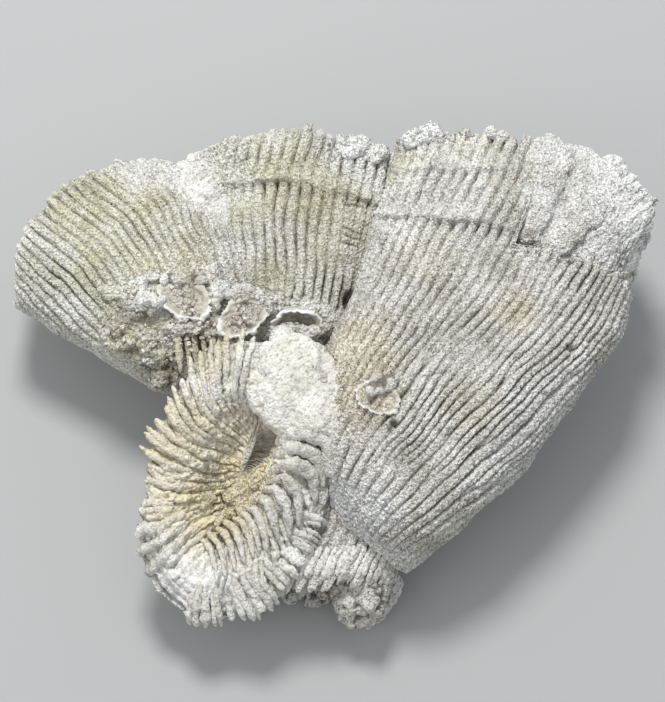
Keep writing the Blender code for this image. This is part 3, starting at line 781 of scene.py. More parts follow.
rightLobe = {
    **commonRibs, "seed": 7, "ribs": 32, "crownDetail": 8, "rowStep": 0.31, "start": 0.05, "furrow": 4.0,
    "wander": 0.05, "dirtAndShade": 1.3, "packing": 0.5,
    "sweep": ((0, 0.3, 1, 1.2, 1.8, 2), (0.52, 0.48, 0.14, 0.14, 0.52, 0.52)),
    "stations": [
        ((2, -24, 12), (12, -34, 9), 8, 11, 0),
        ((0, -17, 22), (22, -29, 17), 11, 23, 0),
        ((0, -7, 29), (35, -17, 20), 12, 28, 0),
        ((2, 5, 31), (49, 0, 23), 13, 27, 0),
        ((7, 18, 32), (57, 13, 26), 12, 20, 0),
        ((11, 32, 34), (61, 27, 30), 11, 15, 2),
        ((14, 46, 35), (63, 36, 32), 9, 11, 4),
    ],
    "ledges": [
        {"place": 0.82, "slope": 0.06, "unevenness": 0.014, "from": 0.5, "to": 1.0,
         "brow": 0.5, "notch": 1.5, "rise": 0.7, "overhang": 0.5},
        {"place": 0.93, "slope": 0.02, "unevenness": 0.014, "from": 0.5, "to": 0.95,
         "brow": 0.35, "notch": 1.1, "rise": 0.3, "overhang": 0.3},
    ],
    "softSpots": [(4, -27, 5, 0.9), (8, -33, 4, 0.8)],
    "pits": [(13.2, -13.2, 0.8, 2.0), (12.5, -14.1, 0.6, 1.5), (46.2, 3.4, 0.8, 1.6), (36, 8, 2.2, 0.8),
             (40, -2, 2.0, 0.6)],
    "tints": {
        "green": [(15.8, 37.6, 4, 0.8), (28.4, 44.9, 6, 0.6)],
        "ochre": [(5, 2, 7, 0.3), (8, -6, 7, 0.35), (36, 8, 4, 0.25), (28, -9, 5, 0.25), (20, 20, 6, 0.15)],
        "grey": [(30, 18, 9, 0.12), (26, -3, 8, 0.14), (14, 14, 7, 0.1), (34, -12, 7, 0.12)],
        "white": [(40, -12, 14, 0.5), (5, -27, 7, 0.8), (20, 30, 10, 0.4), (22, 46, 5, 0.5)],
        "brown": [(13.2, -13.2, 0.6, 0.7), (12.5, -14.1, 0.4, 0.5), (46.2, 3.4, 0.5, 0.6)],
    },
    "reshape": cutBackToStep,
}

upperRightLobe = {
    **commonRibs, "seed": 11, "ribs": 15, "crownDetail": 8, "start": 0.2, "furrow": 3.5,
    "ribHeight": 0.2, "beadHeight": 0.2, "grainHeight": 0.4, "coarseHeight": 0.9,
    "ragged": 5.0, "toothLength": 0.6,
    "tints": {
        "white": [(52, 30, 16, 0.7)],
        "brown": [(46.5, 36.4, 0.6, 0.8), (43.5, 28, 0.7, 0.6), (43, 31, 0.5, 0.5)],
    },
    "pits": [(46.5, 36.4, 0.7, 1.5), (43.5, 27, 1.2, 0.8)],
    "stations": [
        ((28, 26, 27.5), (37, 8, 25), 9, 15, 0),
        ((40, 38, 32), (52, 14, 27), 9, 14, 0),
        ((48, 43, 34), (59, 20, 29.5), 7.5, 10, 9),
    ],
}

openCalice = {
    **commonRibs, "seed": 13, "ribs": 25, "start": 0.1, "furrow": 5.5, "lean": -0.08, "up": (1.0, 0.0, 0.15),
    "crownDetail": 9, "bellyDetail": 9, "bellySkip": 1,
    "rowStep": 0.34, "innerStep": 0.28, "innerEnd": 0.95,
    "lip": 2.2, "lipWidth": 0.9, "brink": 0.35, "toothLength": 0.8,
    "roundness": 0.45, "wander": 0.3, "jitter": 0.2, "branching": (0.2, 0.6),
    "swirl": ((0, 0.12, 0.5, 0.8, 1.1, 2.0), (0.0, 0.3, 0.38, 0.16, 0.1, 0.0)),
    "slant": ((0, 0.1, 0.2, 0.6, 0.75, 2.0), (0.0, 0.5, 0.9, 0.9, 0.0, 0.0)),
    "ribMap": ((0, 0.15, 0.55, 1.1, 1.75, 2.0), (0, 4, 10, 30, 42, 50)),
    "septa": ((0, 0.15, 0.35, 0.6, 1.1, 1.3, 1.7, 1.85, 2.0),
              (0.2, 0.9, 1.1, 1.3, 1.3, 1.6, 1.5, 0.6, 0.2)),
    "breakUp": 0.9, "innerGrain": 0.25, "innerLight": 0.7, "innerRoughness": 1.3,
    "crumble": 0.9, "beadHeight": 0.45,
    "layers": [
        {"from": 0.85, "to": 1.32, "after": 0.45, "until": 1.3, "step": 2.0, "height": 1.5, "filled": 0.0},
    ],
    "tints": {
        "ochre": [(-19, -18, 15, 0.4), (-16, -18, 6, 0.8), (-22, -22, 6, 0.7), (-12, -14, 4, 0.5),
                  (-27, -10, 7, 0.6), (-27, -22, 5, 0.6)],
        # the wide faint white spot over the cup is painted light, lifting the cup where the lamps leave it
        # darker than the rest
        "white": [(-3, -18, 7, 0.6), (-22, -38, 9, 0.7), (-16, -20, 22, 0.15)],
        "grey": [(-13.2, -15.5, 1.4, 0.9), (-12, -13.5, 1.7, 0.9), (-10.7, -11.8, 1.8, 0.9),
                 (-9.2, -10.2, 1.7, 0.9)],
    },
    "pits": [(-13, -15.2, 1.5, 1.0), (-11.6, -13, 1.9, 1.6), (-10, -11, 1.8, 1.8), (-18, -20, 1.2, 0.8)],
    "stations": [
        ((-5, -10, -4), (2, 10, 6), 9, 9, 0),
        ((-14, -25, 2), (-1, 8, 22), 13, 13, 0),
        ((-24, -40.5, 13), (-7.5, 2, 37), 16.6, 16.5, 0),
    ],
}

frontLobe = {
    **commonRibs, "seed": 17, "ribs": 13, "start": 0.3, "furrow": 9.0, "up": (0, -0.1, 1), "innerEnd": 0.5,
    "toothLength": 3.0, "branching": (0.0, 0.05),
    "stations": [
        ((15, -12, 18), (1, -10, 15), 9.5, 12, 0),
        ((16, -23, 15), (-4, -23, 13), 9.5, 11, 0),
        ((13, -33.5, 11), (-12, -33, 9), 9, 8, 0.5),
    ],
}

lobes = {
    "leftLobe": (leftLobe, "left_lobe"),
    "middleLobe": (middleLobe, "middle_lobe"),
    "rightLobe": (rightLobe, "right_lobe"),
    "upperRightLobe": (upperRightLobe, "upper_right_lobe"),
    "openCalice": (openCalice, "open_calice"),
    "frontLobe": (frontLobe, "front_lobe"),
}
for pieceName, (lobe, node) in lobes.items():
    piece = coralLobe(pieceName, lobe, coralStone)
    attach(piece, "root")
    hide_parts(node)
print("lobes made")


def lobeLine(lobe, places, column):
    # points along one rib of a lobe, and the way out of it
    step = 0.006
    columns = np.array([column - step, column, column + step]) % 2
    here, _ = loftPoints(lobe, places, columns)
    later, _ = loftPoints(lobe, places + step, columns)
    earlier, _ = loftPoints(lobe, places - step, columns)
    ahead = later[:, 1] - earlier[:, 1]
    side = unitVectors(here[:, 2] - here[:, 0])
    return here[:, 1] + slowWaves(here[:, 1]), unitVectors(np.cross(ahead, side))


def tubeFaces(rows, count, first):
    # faces of a closed tube: rows of rings, each of this many points
    faces = []
    for row in range(rows - 1):
        low, high = first + row * count, first + (row + 1) * count
        for i in range(count):
            j = (i + 1) % count
            faces.append((low + i, low + j, high + j, high + i))
    faces.append([first + i for i in reversed(range(count))])
    faces.append([first + (rows - 1) * count + i for i in range(count)])
    return faces


rodLook = {
    "rings": 26, "sides": 9,
    "bend": 0.15,                 # mm that a rod strays from its line
    "grainSize": 0.8, "grain": 0.35, "bulgeSize": 1.6, "bulge": 0.5,     # shares of the radius
    "dirtAndShade": 0.5,
}


def rodPoints(line, radii, seed):
    # rings of a grainy rod along a short line
    angle = np.arange(rodLook["sides"]) * 2 * math.pi / rodLook["sides"]
    ahead = unitVectors(np.gradient(line, axis=0))
    side = unitVectors(np.cross(ahead, np.array([0.3, 0.2, 0.9])))
    over = np.cross(side, ahead)
    ring = np.cos(angle)[None, :, None] * side[:, None] + np.sin(angle)[None, :, None] * over[:, None]
    points = line[:, None] + ring * radii[:, None, None]
    grain = grains(points, rodLook["grainSize"], seed)
    bulge = rodLook["bulge"] * roughNoise(points, rodLook["bulgeSize"], seed + 1)
    bulge = rodLook["grain"] * (grain - 0.6) + bulge
    return points + ring * (bulge * radii[:, None])[..., None], grain


def faceOutward(piece):
    bpy.ops.object.select_all(action="DESELECT")
    bpy.context.view_layer.objects.active = piece
    piece.select_set(True)
    bpy.ops.object.mode_set(mode="EDIT")
    bpy.ops.mesh.select_all(action="SELECT")
    bpy.ops.mesh.normals_make_consistent(inside=False)
    bpy.ops.object.mode_set(mode="OBJECT")
    piece.select_set(False)


rodTints = {
    "ochre": [(-16, -18, 6, 0.7), (-20, -24, 6, 0.6), (-12, -14, 4, 0.5), (-21.5, 6, 8, 0.5),
              (-28, -12, 8, 0.45), (-26, -22, 6, 0.4)],
    "grey": [(-21.5, 7, 6, 0.35), (-14, -20, 16, 0.1)],
    "brown": [(-24, 8.5, 3, 0.35), (-18, 8, 3, 0.3)],
}


def rodPiece(name, rods, finish):
    # rods: points of the line, radius; each tapers to both ends
    points, faces, dark = [], [], []
    count = rodLook["rings"]
    at = np.linspace(0, 1, count)
    taper = np.sqrt(np.clip(1 - at**5, 0.02, 1))
    total = 0
    for index, (line, radius) in enumerate(rods):
        line = np.asarray(line, float)
        smooth = hermite(np.linspace(0, 1, len(line)), line, at)
        bends = [roughNoise(smooth, 2.5, 330 + index + i) for i in range(3)]
        smooth = smooth + rodLook["bend"] * np.stack(bends, axis=-1)
        radii = radius * taper * (0.75 + 0.25 * np.sin(math.pi * at))
        rings, grain = rodPoints(smooth, radii, 400 + index)
        faces += tubeFaces(count, rings.shape[1], total)
        total += rings.shape[0] * rings.shape[1]
        points.append(rings.reshape(-1, 3))
        # dirt and painted shade between the rod's grains
        dark.append(rodLook["dirtAndShade"] * smoothStep((0.55 - grain.ravel()) / 0.5))
    points = np.concatenate(points)
    masks = {"groove": np.concatenate(dark), "inner": np.full(len(points), 0.8)}
    masks.update({mask: spotMask(points, spots) for mask, spots in rodTints.items()})
    piece = addPiece(name, points, faces, masks, finish)
    faceOutward(piece)
    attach(piece, "root")
    print(f"{name}: {len(rods)} rods")


def rimRod(lobe, column, inner, length, droop, lift):
    # a rod that lies along a septum and reaches out over the rim
    path, out = lobeLine(lobe, np.linspace(1 + inner, 1.02, 5), column)
    outward = unitVectors(path[-1] - path[-3])
    tip = unitVectors(outward + np.array([0, 0, -droop])) * length
    rise = np.linspace(-0.4, lift, 5)[:, None] * out
    end = path[-1] + rise[-1]
    return np.concatenate([path + rise, [end + 0.5 * tip, end + tip]])


# rods around the open calice: first column, last column and count, then ranges to draw from
caliceRims = [
    {"columns": (1.5, 1.92, 15), "jitter": 0.01, "inner": (0.35, 0.7), "length": (1.0, 3.4), "droop": -0.3,
     "lift": (0.9, 1.6), "radius": (0.6, 0.9)},
    {"columns": (1.14, 1.44, 9), "jitter": 0.02, "inner": (0.3, 0.6), "length": (0.05, 0.4), "droop": 0.6,
     "lift": (0.2, 0.6), "radius": (0.7, 1.1)},
    {"columns": (0.5, 1.0, 24), "jitter": 0.014, "inner": (0.15, 0.5), "length": (0.4, 3.0), "droop": 1.0,
     "lift": (0.6, 1.4), "radius": (0.5, 1.1)},
]
# rods that hang side by side at the back; their points are x beside the rod's place, y and z
backRods = {
    "places": (-27.5, -15.5, 8), "jitter": 0.3, "radius": (0.55, 0.8),
    "line": ((0, 10.0, 28.2), (0.1, 7.6, 27.6), (0.4, 5.0, 26.4), (0.6, 2.6, 25.2)),
}


def caliceRods():
    chance = random.Random(21)
    rods = []
    for rim in caliceRims:
        for column in np.linspace(*rim["columns"]):
            column = column + chance.uniform(-rim["jitter"], rim["jitter"])
            inner = chance.uniform(*rim["inner"])
            length = chance.uniform(*rim["length"])
            lift = chance.uniform(*rim["lift"])
            line = rimRod(openCalice, column, inner, length, rim["droop"], lift)
            rods.append((line, chance.uniform(*rim["radius"])))
    for place in np.linspace(*backRods["places"]):
        across = place + chance.uniform(-backRods["jitter"], backRods["jitter"])
        line = [(across + x, y, z) for x, y, z in backRods["line"]]
        rods.append((line, chance.uniform(*backRods["radius"])))
    return rods


# arcs that the blades right of the furrow follow, from the furrow's edge over the shoulder and down
petalArcs = [
    ((-7.4, -13.4, 28.8), (-4.6, -13.0, 32.4), (0.2, -14.6, 32.6), (1.9, -18.9, 29.6)),
    ((-8.4, -15.8, 28.0), (-4.8, -15.4, 31.7), (-0.9, -16.9, 30.8), (0.2, -22.0, 27.0)),
    ((-8.6, -18.2, 27.6), (-5.0, -18.3, 30.8), (-1.7, -20.2, 29.1), (-1.2, -24.8, 25.6)),
    ((-10.2, -19.8, 25.8), (-7.0, -20.8, 28.8), (-4.6, -24.0, 28.0), (-4.4, -28.4, 24.5)),
    ((-12.7, -22.0, 23.0), (-10.6, -23.4, 25.0), (-9.1, -26.9, 25.4), (-8.2, -30.4, 23.8)),
    ((-16.6, -24.0, 19.0), (-14.8, -25.6, 20.5), (-13.4, -29.4, 21.8), (-12.6, -33.2, 21.6)),
    ((-22.4, -27.9, 17.0), (-20.8, -30.2, 18.1), (-19.8, -33.3, 18.3), (-19.4, -36.5, 18.5)),
]
# how far along the arcs each blade lies, and its radius
petals = ((0, 1.5), (0.95, 1.5), (1.95, 1.4), (2.9, 1.3), (3.45, 1.0), (3.95, 1.0), (4.4, 0.95),
          (4.75, 0.9), (5.0, 0.85), (5.25, 0.8), (5.5, 0.75), (5.75, 0.75), (6.0, 0.7))


def petalRods():
    chance = random.Random(23)
    arcs = np.array(petalArcs)
    rods = []
    for turn, radius in petals:
        arc = hermite(np.arange(len(arcs)), arcs, np.array([turn]))[0]
        shift = [chance.uniform(-reach, reach) for reach in (0.25, 0.25, 0.3)]
        arc = arc + np.array(shift)
        arc[-1] = arc[-1] + (arc[-1] - arc[-2]) * chance.uniform(-0.15, 0.3)
        rods.append((arc, radius * chance.uniform(0.88, 1.08)))
    return rods


fringe = {"columns": (0.08, 0.92, 24), "jitter": 0.012, "sideways": 0.2, "droop": 0.4, "reach": (1.0, 4.2),
          "radius": (0.55, 0.9), "lift": 0.4}


def fringeRods():
    chance = random.Random(22)
    rods = []
    for column in np.linspace(*fringe["columns"]):
        column = column + chance.uniform(-fringe["jitter"], fringe["jitter"])
        path, out = lobeLine(frontLobe, np.linspace(0.8, 1.0, 4), column)
        sideways = chance.uniform(-fringe["sideways"], fringe["sideways"])
        outward = unitVectors(path[-1] - path[0]) + np.array([sideways, 0, -fringe["droop"]])
        reach = chance.uniform(*fringe["reach"])
        tips = [path[-1] + 0.5 * reach * outward, path[-1] + reach * outward]
        line = np.concatenate([path + fringe["lift"] * out, tips])
        rods.append((line, chance.uniform(*fringe["radius"])))
    return rods


rodPiece("caliceRods", caliceRods(), coralStone)
rodPiece("fringeRods", fringeRods(), coralStone)
rodPiece("petalRods", petalRods(), coralStone)


def meshPlaces(mesh):
    place = np.empty(len(mesh.vertices) * 3)
    mesh.vertices.foreach_get("co", place)
    return place.reshape(-1, 3)


def meshNormals(mesh):
    normals = np.empty(len(mesh.vertices) * 3)
    mesh.vertex_normals.foreach_get("vector", normals)
    return normals.reshape(-1, 3)


def stoneBall(centre, radii, turn, rough):
    # an uneven ball, shaped from an icosphere; turn: tilt and spin in degrees
    bpy.ops.mesh.primitive_ico_sphere_add(subdivisions=5, radius=1.0, location=(0, 0, 0))
    ball = bpy.context.object
    place = meshPlaces(ball.data)
    normals = place.copy()
    place = np.sign(place) * np.abs(place) ** 0.8 * np.array(radii)
    tilt = Matrix.Rotation(math.radians(turn[0]), 3, "X")
    spin = np.array(tilt @ Matrix.Rotation(math.radians(turn[1]), 3, "Z"))
    place = place @ spin.T + np.array(centre)
    seed = int(abs(centre[0] * 7 + centre[1] * 3)) + 500
    lift = rough * min(radii) * roughNoise(place, max(min(radii) * 0.9, 1.5), seed)
    place = place + (normals @ spin.T) * lift[:, None]
    ball.data.vertices.foreach_set("co", (place * millimetre).ravel())
    return ball


def hollows(mesh):
    # how far each point lies below its neighbours, in millimetres: above 0 in a hollow
    edges = np.empty(len(mesh.edges) * 2, np.int64)
    mesh.edges.foreach_get("vertices", edges)
    first, second = edges.reshape(-1, 2).T
    place = meshPlaces(mesh) / millimetre
    total = np.zeros(place.shape)
    count = np.zeros(len(place))
    for here, other in ((first, second), (second, first)):
        np.add.at(total, here, place[other])
        np.add.at(count, here, 1)
    return ((total / count[:, None] - place) * meshNormals(mesh)).sum(axis=1)


lumpTints = {
    "white": [(23, 46, 10, 1.0), (9, 46, 6, 0.8), (-22, 40, 8, 0.25), (-34, 16, 3, 0.7),
              (-31, 14.6, 2.5, 0.7), (-20.5, 15, 2.6, 0.6), (-18.6, 17.8, 1.4, 0.8), (-28, 9, 3, 0.4),
              (-5, -4, 9, 0.15), (44, 34, 12, 0.5), (58, 33, 12, 0.6)],
    "ochre": [(-16, -19, 9, 0.7), (-6, -2, 6, 0.12), (-4, -12, 4, 0.15)],
    "green": [(-30, 9, 6, 0.6), (-22, 13, 5, 0.5), (-38, 8, 3, 0.8), (-29, 5.5, 2.5, 0.9), (-40, 16, 3, 0.7),
              (-26, 19.5, 4, 0.5)],
    "grey": [(-20, 8, 6, 0.5), (-25.5, 17, 4, 0.35), (-14.6, 12.8, 3, 0.3), (-26, 10, 6, 0.4),
             (-36, 12, 4, 0.3), (-31, 6, 5, 0.3)],
    "shadow": [(-37, 12.5, 4, 1.0), (-24, 11.5, 4, 1.0), (-17, 9.5, 4, 1.0), (-29, 5, 4, 0.8),
               (-26.5, 18.5, 3, 0.6)],
    "inner": [(-33, 15.5, 3.5, 0.7), (-20.5, 15, 2.6, 0.7), (-5, -5, 13, 1.0), (-24, 38, 12, 0.7),
              (22, 46, 9, 0.5), (9, 46, 6, 0.4)],
    # brown: real brown holes and crevices, and a painted shadow line under the large shell and in the rubble
    # hollows beside it
    "brown": [(38.6, 24.0, 0.9, 0.6), (46.5, 36.4, 0.5, 0.8), (60.2, 29, 0.7, 0.6), (-38, 12.6, 1.5, 0.25),
              (-35.4, 12.2, 1.4, 0.25), (-33, 12.6, 1.6, 0.25), (-29.6, 12.4, 1.0, 0.7),
              (-27.4, 12.0, 1.0, 0.8), (-25, 11.9, 1.0, 0.8), (-22.6, 12.2, 1.0, 0.7), (-26, 4.6, 1.2, 0.6),
              (-29, 3.4, 1.3, 0.6), (-35, 6, 1.2, 0.5)],
}


# grains and knobs on a mass of stone; knob, coarse and the painted shade between knobs are multiplied by the
# mass's roughness
stoneLook = {
    "grainSize": 0.8, "grain": 0.2,
    "knobSize": 2.2, "knob": 2.2,
    "coarseSize": 1.8, "coarse": 2.5,
    # painted shade: darker in hollows and between knobs, no darker than darkest
    "dirtAndShade": 0.8, "knobShade": 3.0, "darkest": 0.92,
}


def stoneMass(name, lumps, finish, cell, rough, smoothing):
    # overlapping balls, merged into one mass in cells of this many mm, smoothed and roughened
    balls = [stoneBall(*lump, rough) for lump in lumps]
    bpy.ops.object.select_all(action="DESELECT")
    for ball in balls:
        ball.select_set(True)
    bpy.context.view_layer.objects.active = balls[0]
    if len(balls) > 1:
        bpy.ops.object.join()
    piece = bpy.context.object
    piece.name = name
    piece.data.name = name
    piece.data.remesh_voxel_size = cell * millimetre
    bpy.ops.object.voxel_remesh()
    blend = piece.modifiers.new("blend", "SMOOTH")
    blend.factor = 0.5
    blend.iterations = smoothing
    bpy.ops.object.modifier_apply(modifier="blend")
    mesh = piece.data
    place = meshPlaces(mesh) / millimetre
    seed = len(name) + 500
    grain = grains(place, stoneLook["grainSize"], seed)
    knob = grains(place, stoneLook["knobSize"], seed + 3)
    coarse = roughNoise(place, stoneLook["coarseSize"], seed + 2)
    lift = stoneLook["grain"] * (grain - 0.5) + stoneLook["knob"] * rough * (knob - 0.7)
    lift = lift + stoneLook["coarse"] * rough * coarse
    place = place + meshNormals(mesh) * lift[:, None]
    place[:, 2] = np.maximum(place[:, 2], 0)
    mesh.vertices.foreach_set("co", (place * millimetre).ravel())
    mesh.update()
    tints = {mask: spotMask(place, spots) for mask, spots in lumpTints.items()}
    # painted shade in the groove mask: darker in hollows and between knobs, lighter on white spots, and a
    # painted shadow where the shadow tint lies
    dark = stoneLook["dirtAndShade"] * smoothStep(hollows(mesh) / 0.10 - 0.1)
    dark = np.maximum(dark, stoneLook["knobShade"] * rough * smoothStep((0.45 - knob) / 0.4))
    dark = dark * (1 - 0.75 * tints["white"]) * (1 + 1.5 * tints["shadow"])
    setMasks(mesh, {"groove": np.clip(dark, 0, stoneLook["darkest"]), **tints})
    mesh.polygons.foreach_set("use_smooth", [True] * len(mesh.polygons))
    mesh.materials.clear()
    mesh.materials.append(finish)
    piece.select_set(False)
    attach(piece, "root")
    print(f"{name}: {len(lumps)} lumps, {2 * len(mesh.polygons)} triangles")


# lumps: centre, radii, tilt and spin in degrees
saddleStone = {
    "cell": 0.4, "rough": 0.1, "smoothing": 5,
    "lumps": [
        ((-24, 35, 25), (8.5, 12.5, 7.3), (0, 0)),
        ((-26, 16, 26), (9.5, 4.6, 3.6), (0, 0)),
        ((-8, 14.5, 24), (11.5, 4.6, 3.6), (0, 0)),
        ((-22.3, 40, 30.3), (3.8, 5.6, 2.6), (0, 0)),
        ((-26.5, 44.5, 29.0), (2.2, 1.8, 1.6), (0, 0)),
        ((-25.0, 46.8, 28.6), (1.5, 1.2, 1.3), (0, 0)),
    ],
}
calicePlate = {
    "cell": 0.36, "rough": 0.09, "smoothing": 6,
    "lumps": [
        ((-5.5, -3.5, 33.6), (6.6, 9.5, 4.0), (20, 0)),
        ((-8.4, 0.2, 35.8), (3.5, 4.0, 3.0), (15, 0)),
        ((-3.2, -0.6, 35.6), (3.4, 4.0, 2.8), (15, 0)),
        ((-1.2, -8.2, 33.9), (4.2, 6.0, 2.8), (8, 0)),
        ((-11.6, -4.0, 32.6), (2.6, 5.0, 2.6), (10, 10)),
        ((2.6, -8.0, 34.0), (2.6, 7.0, 2.0), (10, 0)),
        ((2.0, -15.5, 30.6), (2.2, 5.0, 2.0), (25, 0)),
        ((-7.2, 4.8, 33.9), (2.6, 3.4, 2.0), (25, 0)),
        ((0.4, -0.4, 35.1), (2.2, 2.4, 1.9), (0, 30)),
        ((-11.4, 2.2, 33.6), (2.4, 2.4, 1.8), (15, 20)),
        ((-1.4, 2.6, 34.6), (2.4, 1.8, 1.8), (15, 0)),
        ((-9.9, -4.6, 34.2), (2.0, 4.0, 1.8), (15, 0)),
    ],
}
frontKnobs = {
    "cell": 0.34, "rough": 0.42, "smoothing": 1,
    "lumps": [
        ((7.5, -34.5, 9), (5.2, 6.6, 7.1), (0, 0)),
        ((9.5, -34, 5), (4.6, 5.4, 5.0), (0, 0)),
        ((4.5, -33, 12), (3.0, 3.6, 3.4), (0, 30)),
        ((-6, -32, 2.8), (2.3, 3, 2.4), (0, 0)),
        ((-0.5, -32.5, 2.8), (2.3, 3, 2.4), (0, 0)),
    ],
}
trunk = {"cell": 0.6, "rough": 0.06, "smoothing": 2, "lumps": [((0, 0, 5), (16.5, 16.5, 9.5), (0, 0))]}
stoneMass("saddleStone", finish=coralStone, **saddleStone)
stoneMass("calicePlate", finish=coralStone, **calicePlate)
stoneMass("frontKnobs", finish=coralStone, **frontKnobs)
stoneMass("trunk", finish=coralStone, **trunk)


shellColours = {
    "lime": (0.68, 0.66, 0.61, 1),
    "cream": (0.55, 0.50, 0.40, 1),
    "rim": (0.88, 0.88, 0.86, 1),
    "inside": (0.56, 0.53, 0.44, 1),
    "groove": (0.25, 0.21, 0.16, 1),
}
shellLook = {
    "gritSize": 1.6,
    "dirtAndShade": 0.8,
    "roughness": 0.5,
    "roughnessChange": 0.15,
    "bump": 0.5,
    "bumpDepth": 0.00015,         # metres
    "specular": 0.35,
}


def shellFinish(name, colours, look, grit):
    material, tree, masks = startFinish(name, grit, look["gritSize"])
    colour = mixColour(tree, masks["Mottle"], colours["lime"], colours["cream"])
    colour = mixColour(tree, attributeOf(tree, "inner"), colour, colours["inside"])
    colour = mixColour(tree, attributeOf(tree, "white"), colour, colours["rim"])
    # dirt and painted shade from the groove mask
    dirtAndShade = times(tree, attributeOf(tree, "groove"), look["dirtAndShade"])
    colour = mixColour(tree, dirtAndShade, colour, colours["groove"])
    endFinish(tree, colour, masks["Speckle"], masks["Height"], look)
    return material


shellLime = shellFinish("shellLime", shellColours, shellLook, stoneGrit)

# rimSide: the side of the thick white rim; it and turn are in degrees. The last value darkens the dish's
# hollow middle: partly real stain, partly painted shade
oysters = {
    "oysterLarge": {
        "node": "oyster_shell_large", "centre": (-25.5, 15.3, 30), "axis": (-0.1, -0.25, 1),
        "halfLength": 5.4, "halfWidth": 3.9, "depth": 1.7, "turn": 0, "rimSide": 285, "hollowStainAndShade": 0.3,
    },
    "oysterRound": {
        "node": "oyster_shell_round", "centre": (-15, 12.5, 28.6), "axis": (0.1, -0.3, 1),
        "halfLength": 5.0, "halfWidth": 3.8, "depth": 1.7, "turn": 20, "rimSide": 240, "hollowStainAndShade": 0.55,
    },
    "oysterArched": {
        "node": "oyster_shell_arched", "centre": (-4.6, 11.9, 28.5), "axis": (0, -0.75, 0.66),
        "halfLength": 5.0, "halfWidth": 3.4, "depth": 2.3, "turn": 0, "rimSide": 90, "hollowStainAndShade": 1.0,
    },
    "oysterOnRibs": {
        "node": "oyster_shell_on_ribs", "centre": (10.6, -8.3, 38.1), "axis": (-0.25, -0.35, 0.9),
        "halfLength": 4.4, "halfWidth": 3.0, "depth": 1.4, "turn": 10, "rimSide": 260, "hollowStainAndShade": 0.4,
    },
}


# what all four shells share; the rim starts at this share of the way out
shellShape = {
    "rings": 22, "spokes": 72,
    "waviness": 0.09, "frill": 0.07, "edgeFrill": 0.08,
    "growthLines": 26, "growthHeight": 0.04, "wrinkle": 0.35,
    "thickness": 0.4, "rimThickness": 1.2, "rimStart": 0.78, "rimWidth": 0.18,
    "grit": 0.25, "pucker": 0.45, "grains": 0.45,
    # darkness between grains inside the dish (dirt and painted shade), and of the whole lower side
    "dirtAndShade": 0.5, "undersideDarkness": 0.6, "insideShare": 0.9,
}


def oysterShell(name, node, centre, axis, halfLength, halfWidth, depth, turn, rimSide, hollowStainAndShade):
    # a dished plate of rings and spokes: its upper side, then its lower side from the edge inwards
    look = shellShape
    rings, spokes = look["rings"], look["spokes"]
    seed = 600 + len(name)
    share = np.linspace(0.04, 1, rings)[:, None]
    angle = (np.arange(spokes) * 2 * math.pi / spokes)[None, :]
    nothing = 0 * share * angle
    flat = np.stack([share * np.cos(angle), share * np.sin(angle), nothing], axis=-1)
    circle = np.stack([np.cos(angle), np.sin(angle), 0 * angle], axis=-1)
    outline = 1 + look["waviness"] * softNoise(circle * 1.7, 1.0, seed)
    outline = outline + look["frill"] * share * softNoise(flat * 5, 1.0, seed + 1)
    outline = outline + look["edgeFrill"] * share**3 * softNoise(flat * 11, 1.0, seed + 7)
    rimmed = np.clip(0.5 + 0.5 * np.cos(angle - math.radians(rimSide)), 0, 1) ** 1.6
    edge = smoothStep((share - look["rimStart"]) / look["rimWidth"])
    lines = np.sin(look["growthLines"] * share + 2 * softNoise(flat * 2, 1.0, seed + 2))
    growth = look["growthHeight"] * lines * share
    wrinkle = look["wrinkle"] * share**2 * softNoise(circle * 3.5, 1.0, seed + 3)
    middle = depth * share**2 + growth + wrinkle
    thickness = look["rimThickness"] * edge * rimmed * (1 + 0.8 * softNoise(flat * 7, 1.0, seed + 4))
    thickness = look["thickness"] + thickness
    thickness = thickness * np.sqrt(np.clip(1.04 - share**12, 0.04, 1))
    x = halfLength * share * outline * np.cos(angle)
    y = halfWidth * share * outline * np.sin(angle)
    upper = np.stack([x, y, middle + thickness], axis=-1)
    lower = np.stack([x, y, middle - thickness], axis=-1)
    points = np.concatenate([upper, lower[::-1]])
    rough = roughNoise(points, 0.9, seed + 5)
    pucker = look["pucker"] * roughNoise(np.concatenate([upper, upper[::-1]]), 2.2, seed + 6)
    bumps = np.concatenate([grains(upper, 1.1, seed + 9) * (1 - edge), nothing])
    points[..., 2] += look["grit"] * rough + pucker + look["grains"] * bumps
    spin = Matrix.Rotation(math.radians(turn), 3, "Z")
    facing = np.array(Vector(axis).to_track_quat("Z", "Y").to_matrix() @ spin)
    points = points @ facing.T + np.array(centre)
    white = np.concatenate([edge * rimmed, (edge * rimmed)[::-1]])
    crumbly = smoothStep((0.6 - grains(points[:rings], 0.9, seed + 8)) / 0.4)
    hollow = (1 - smoothStep((share - 0.6) / 0.35)) * (0.5 + 0.5 * smoothStep(rough[:rings] + 0.4))
    # dirt and painted shade between grains inside the dish, and stain and painted shade in its hollow middle
    dark = np.clip(look["dirtAndShade"] * (1 - edge) * crumbly + hollowStainAndShade * hollow, 0, 1)
    # the lower side is evenly darker
    groove = np.concatenate([dark, look["undersideDarkness"] + nothing])
    inner = np.concatenate([look["insideShare"] * (1 - edge) + 0 * angle, nothing])
    masks = {"white": white.ravel(), "groove": groove.ravel(), "inner": inner.ravel()}
    piece = addPiece(name, points.reshape(-1, 3), tubeFaces(2 * rings, spokes, 0), masks, shellLime)
    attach(piece, "root")
    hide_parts(node)


for pieceName, facts in oysters.items():
    oysterShell(pieceName, **facts)
print("shells made")


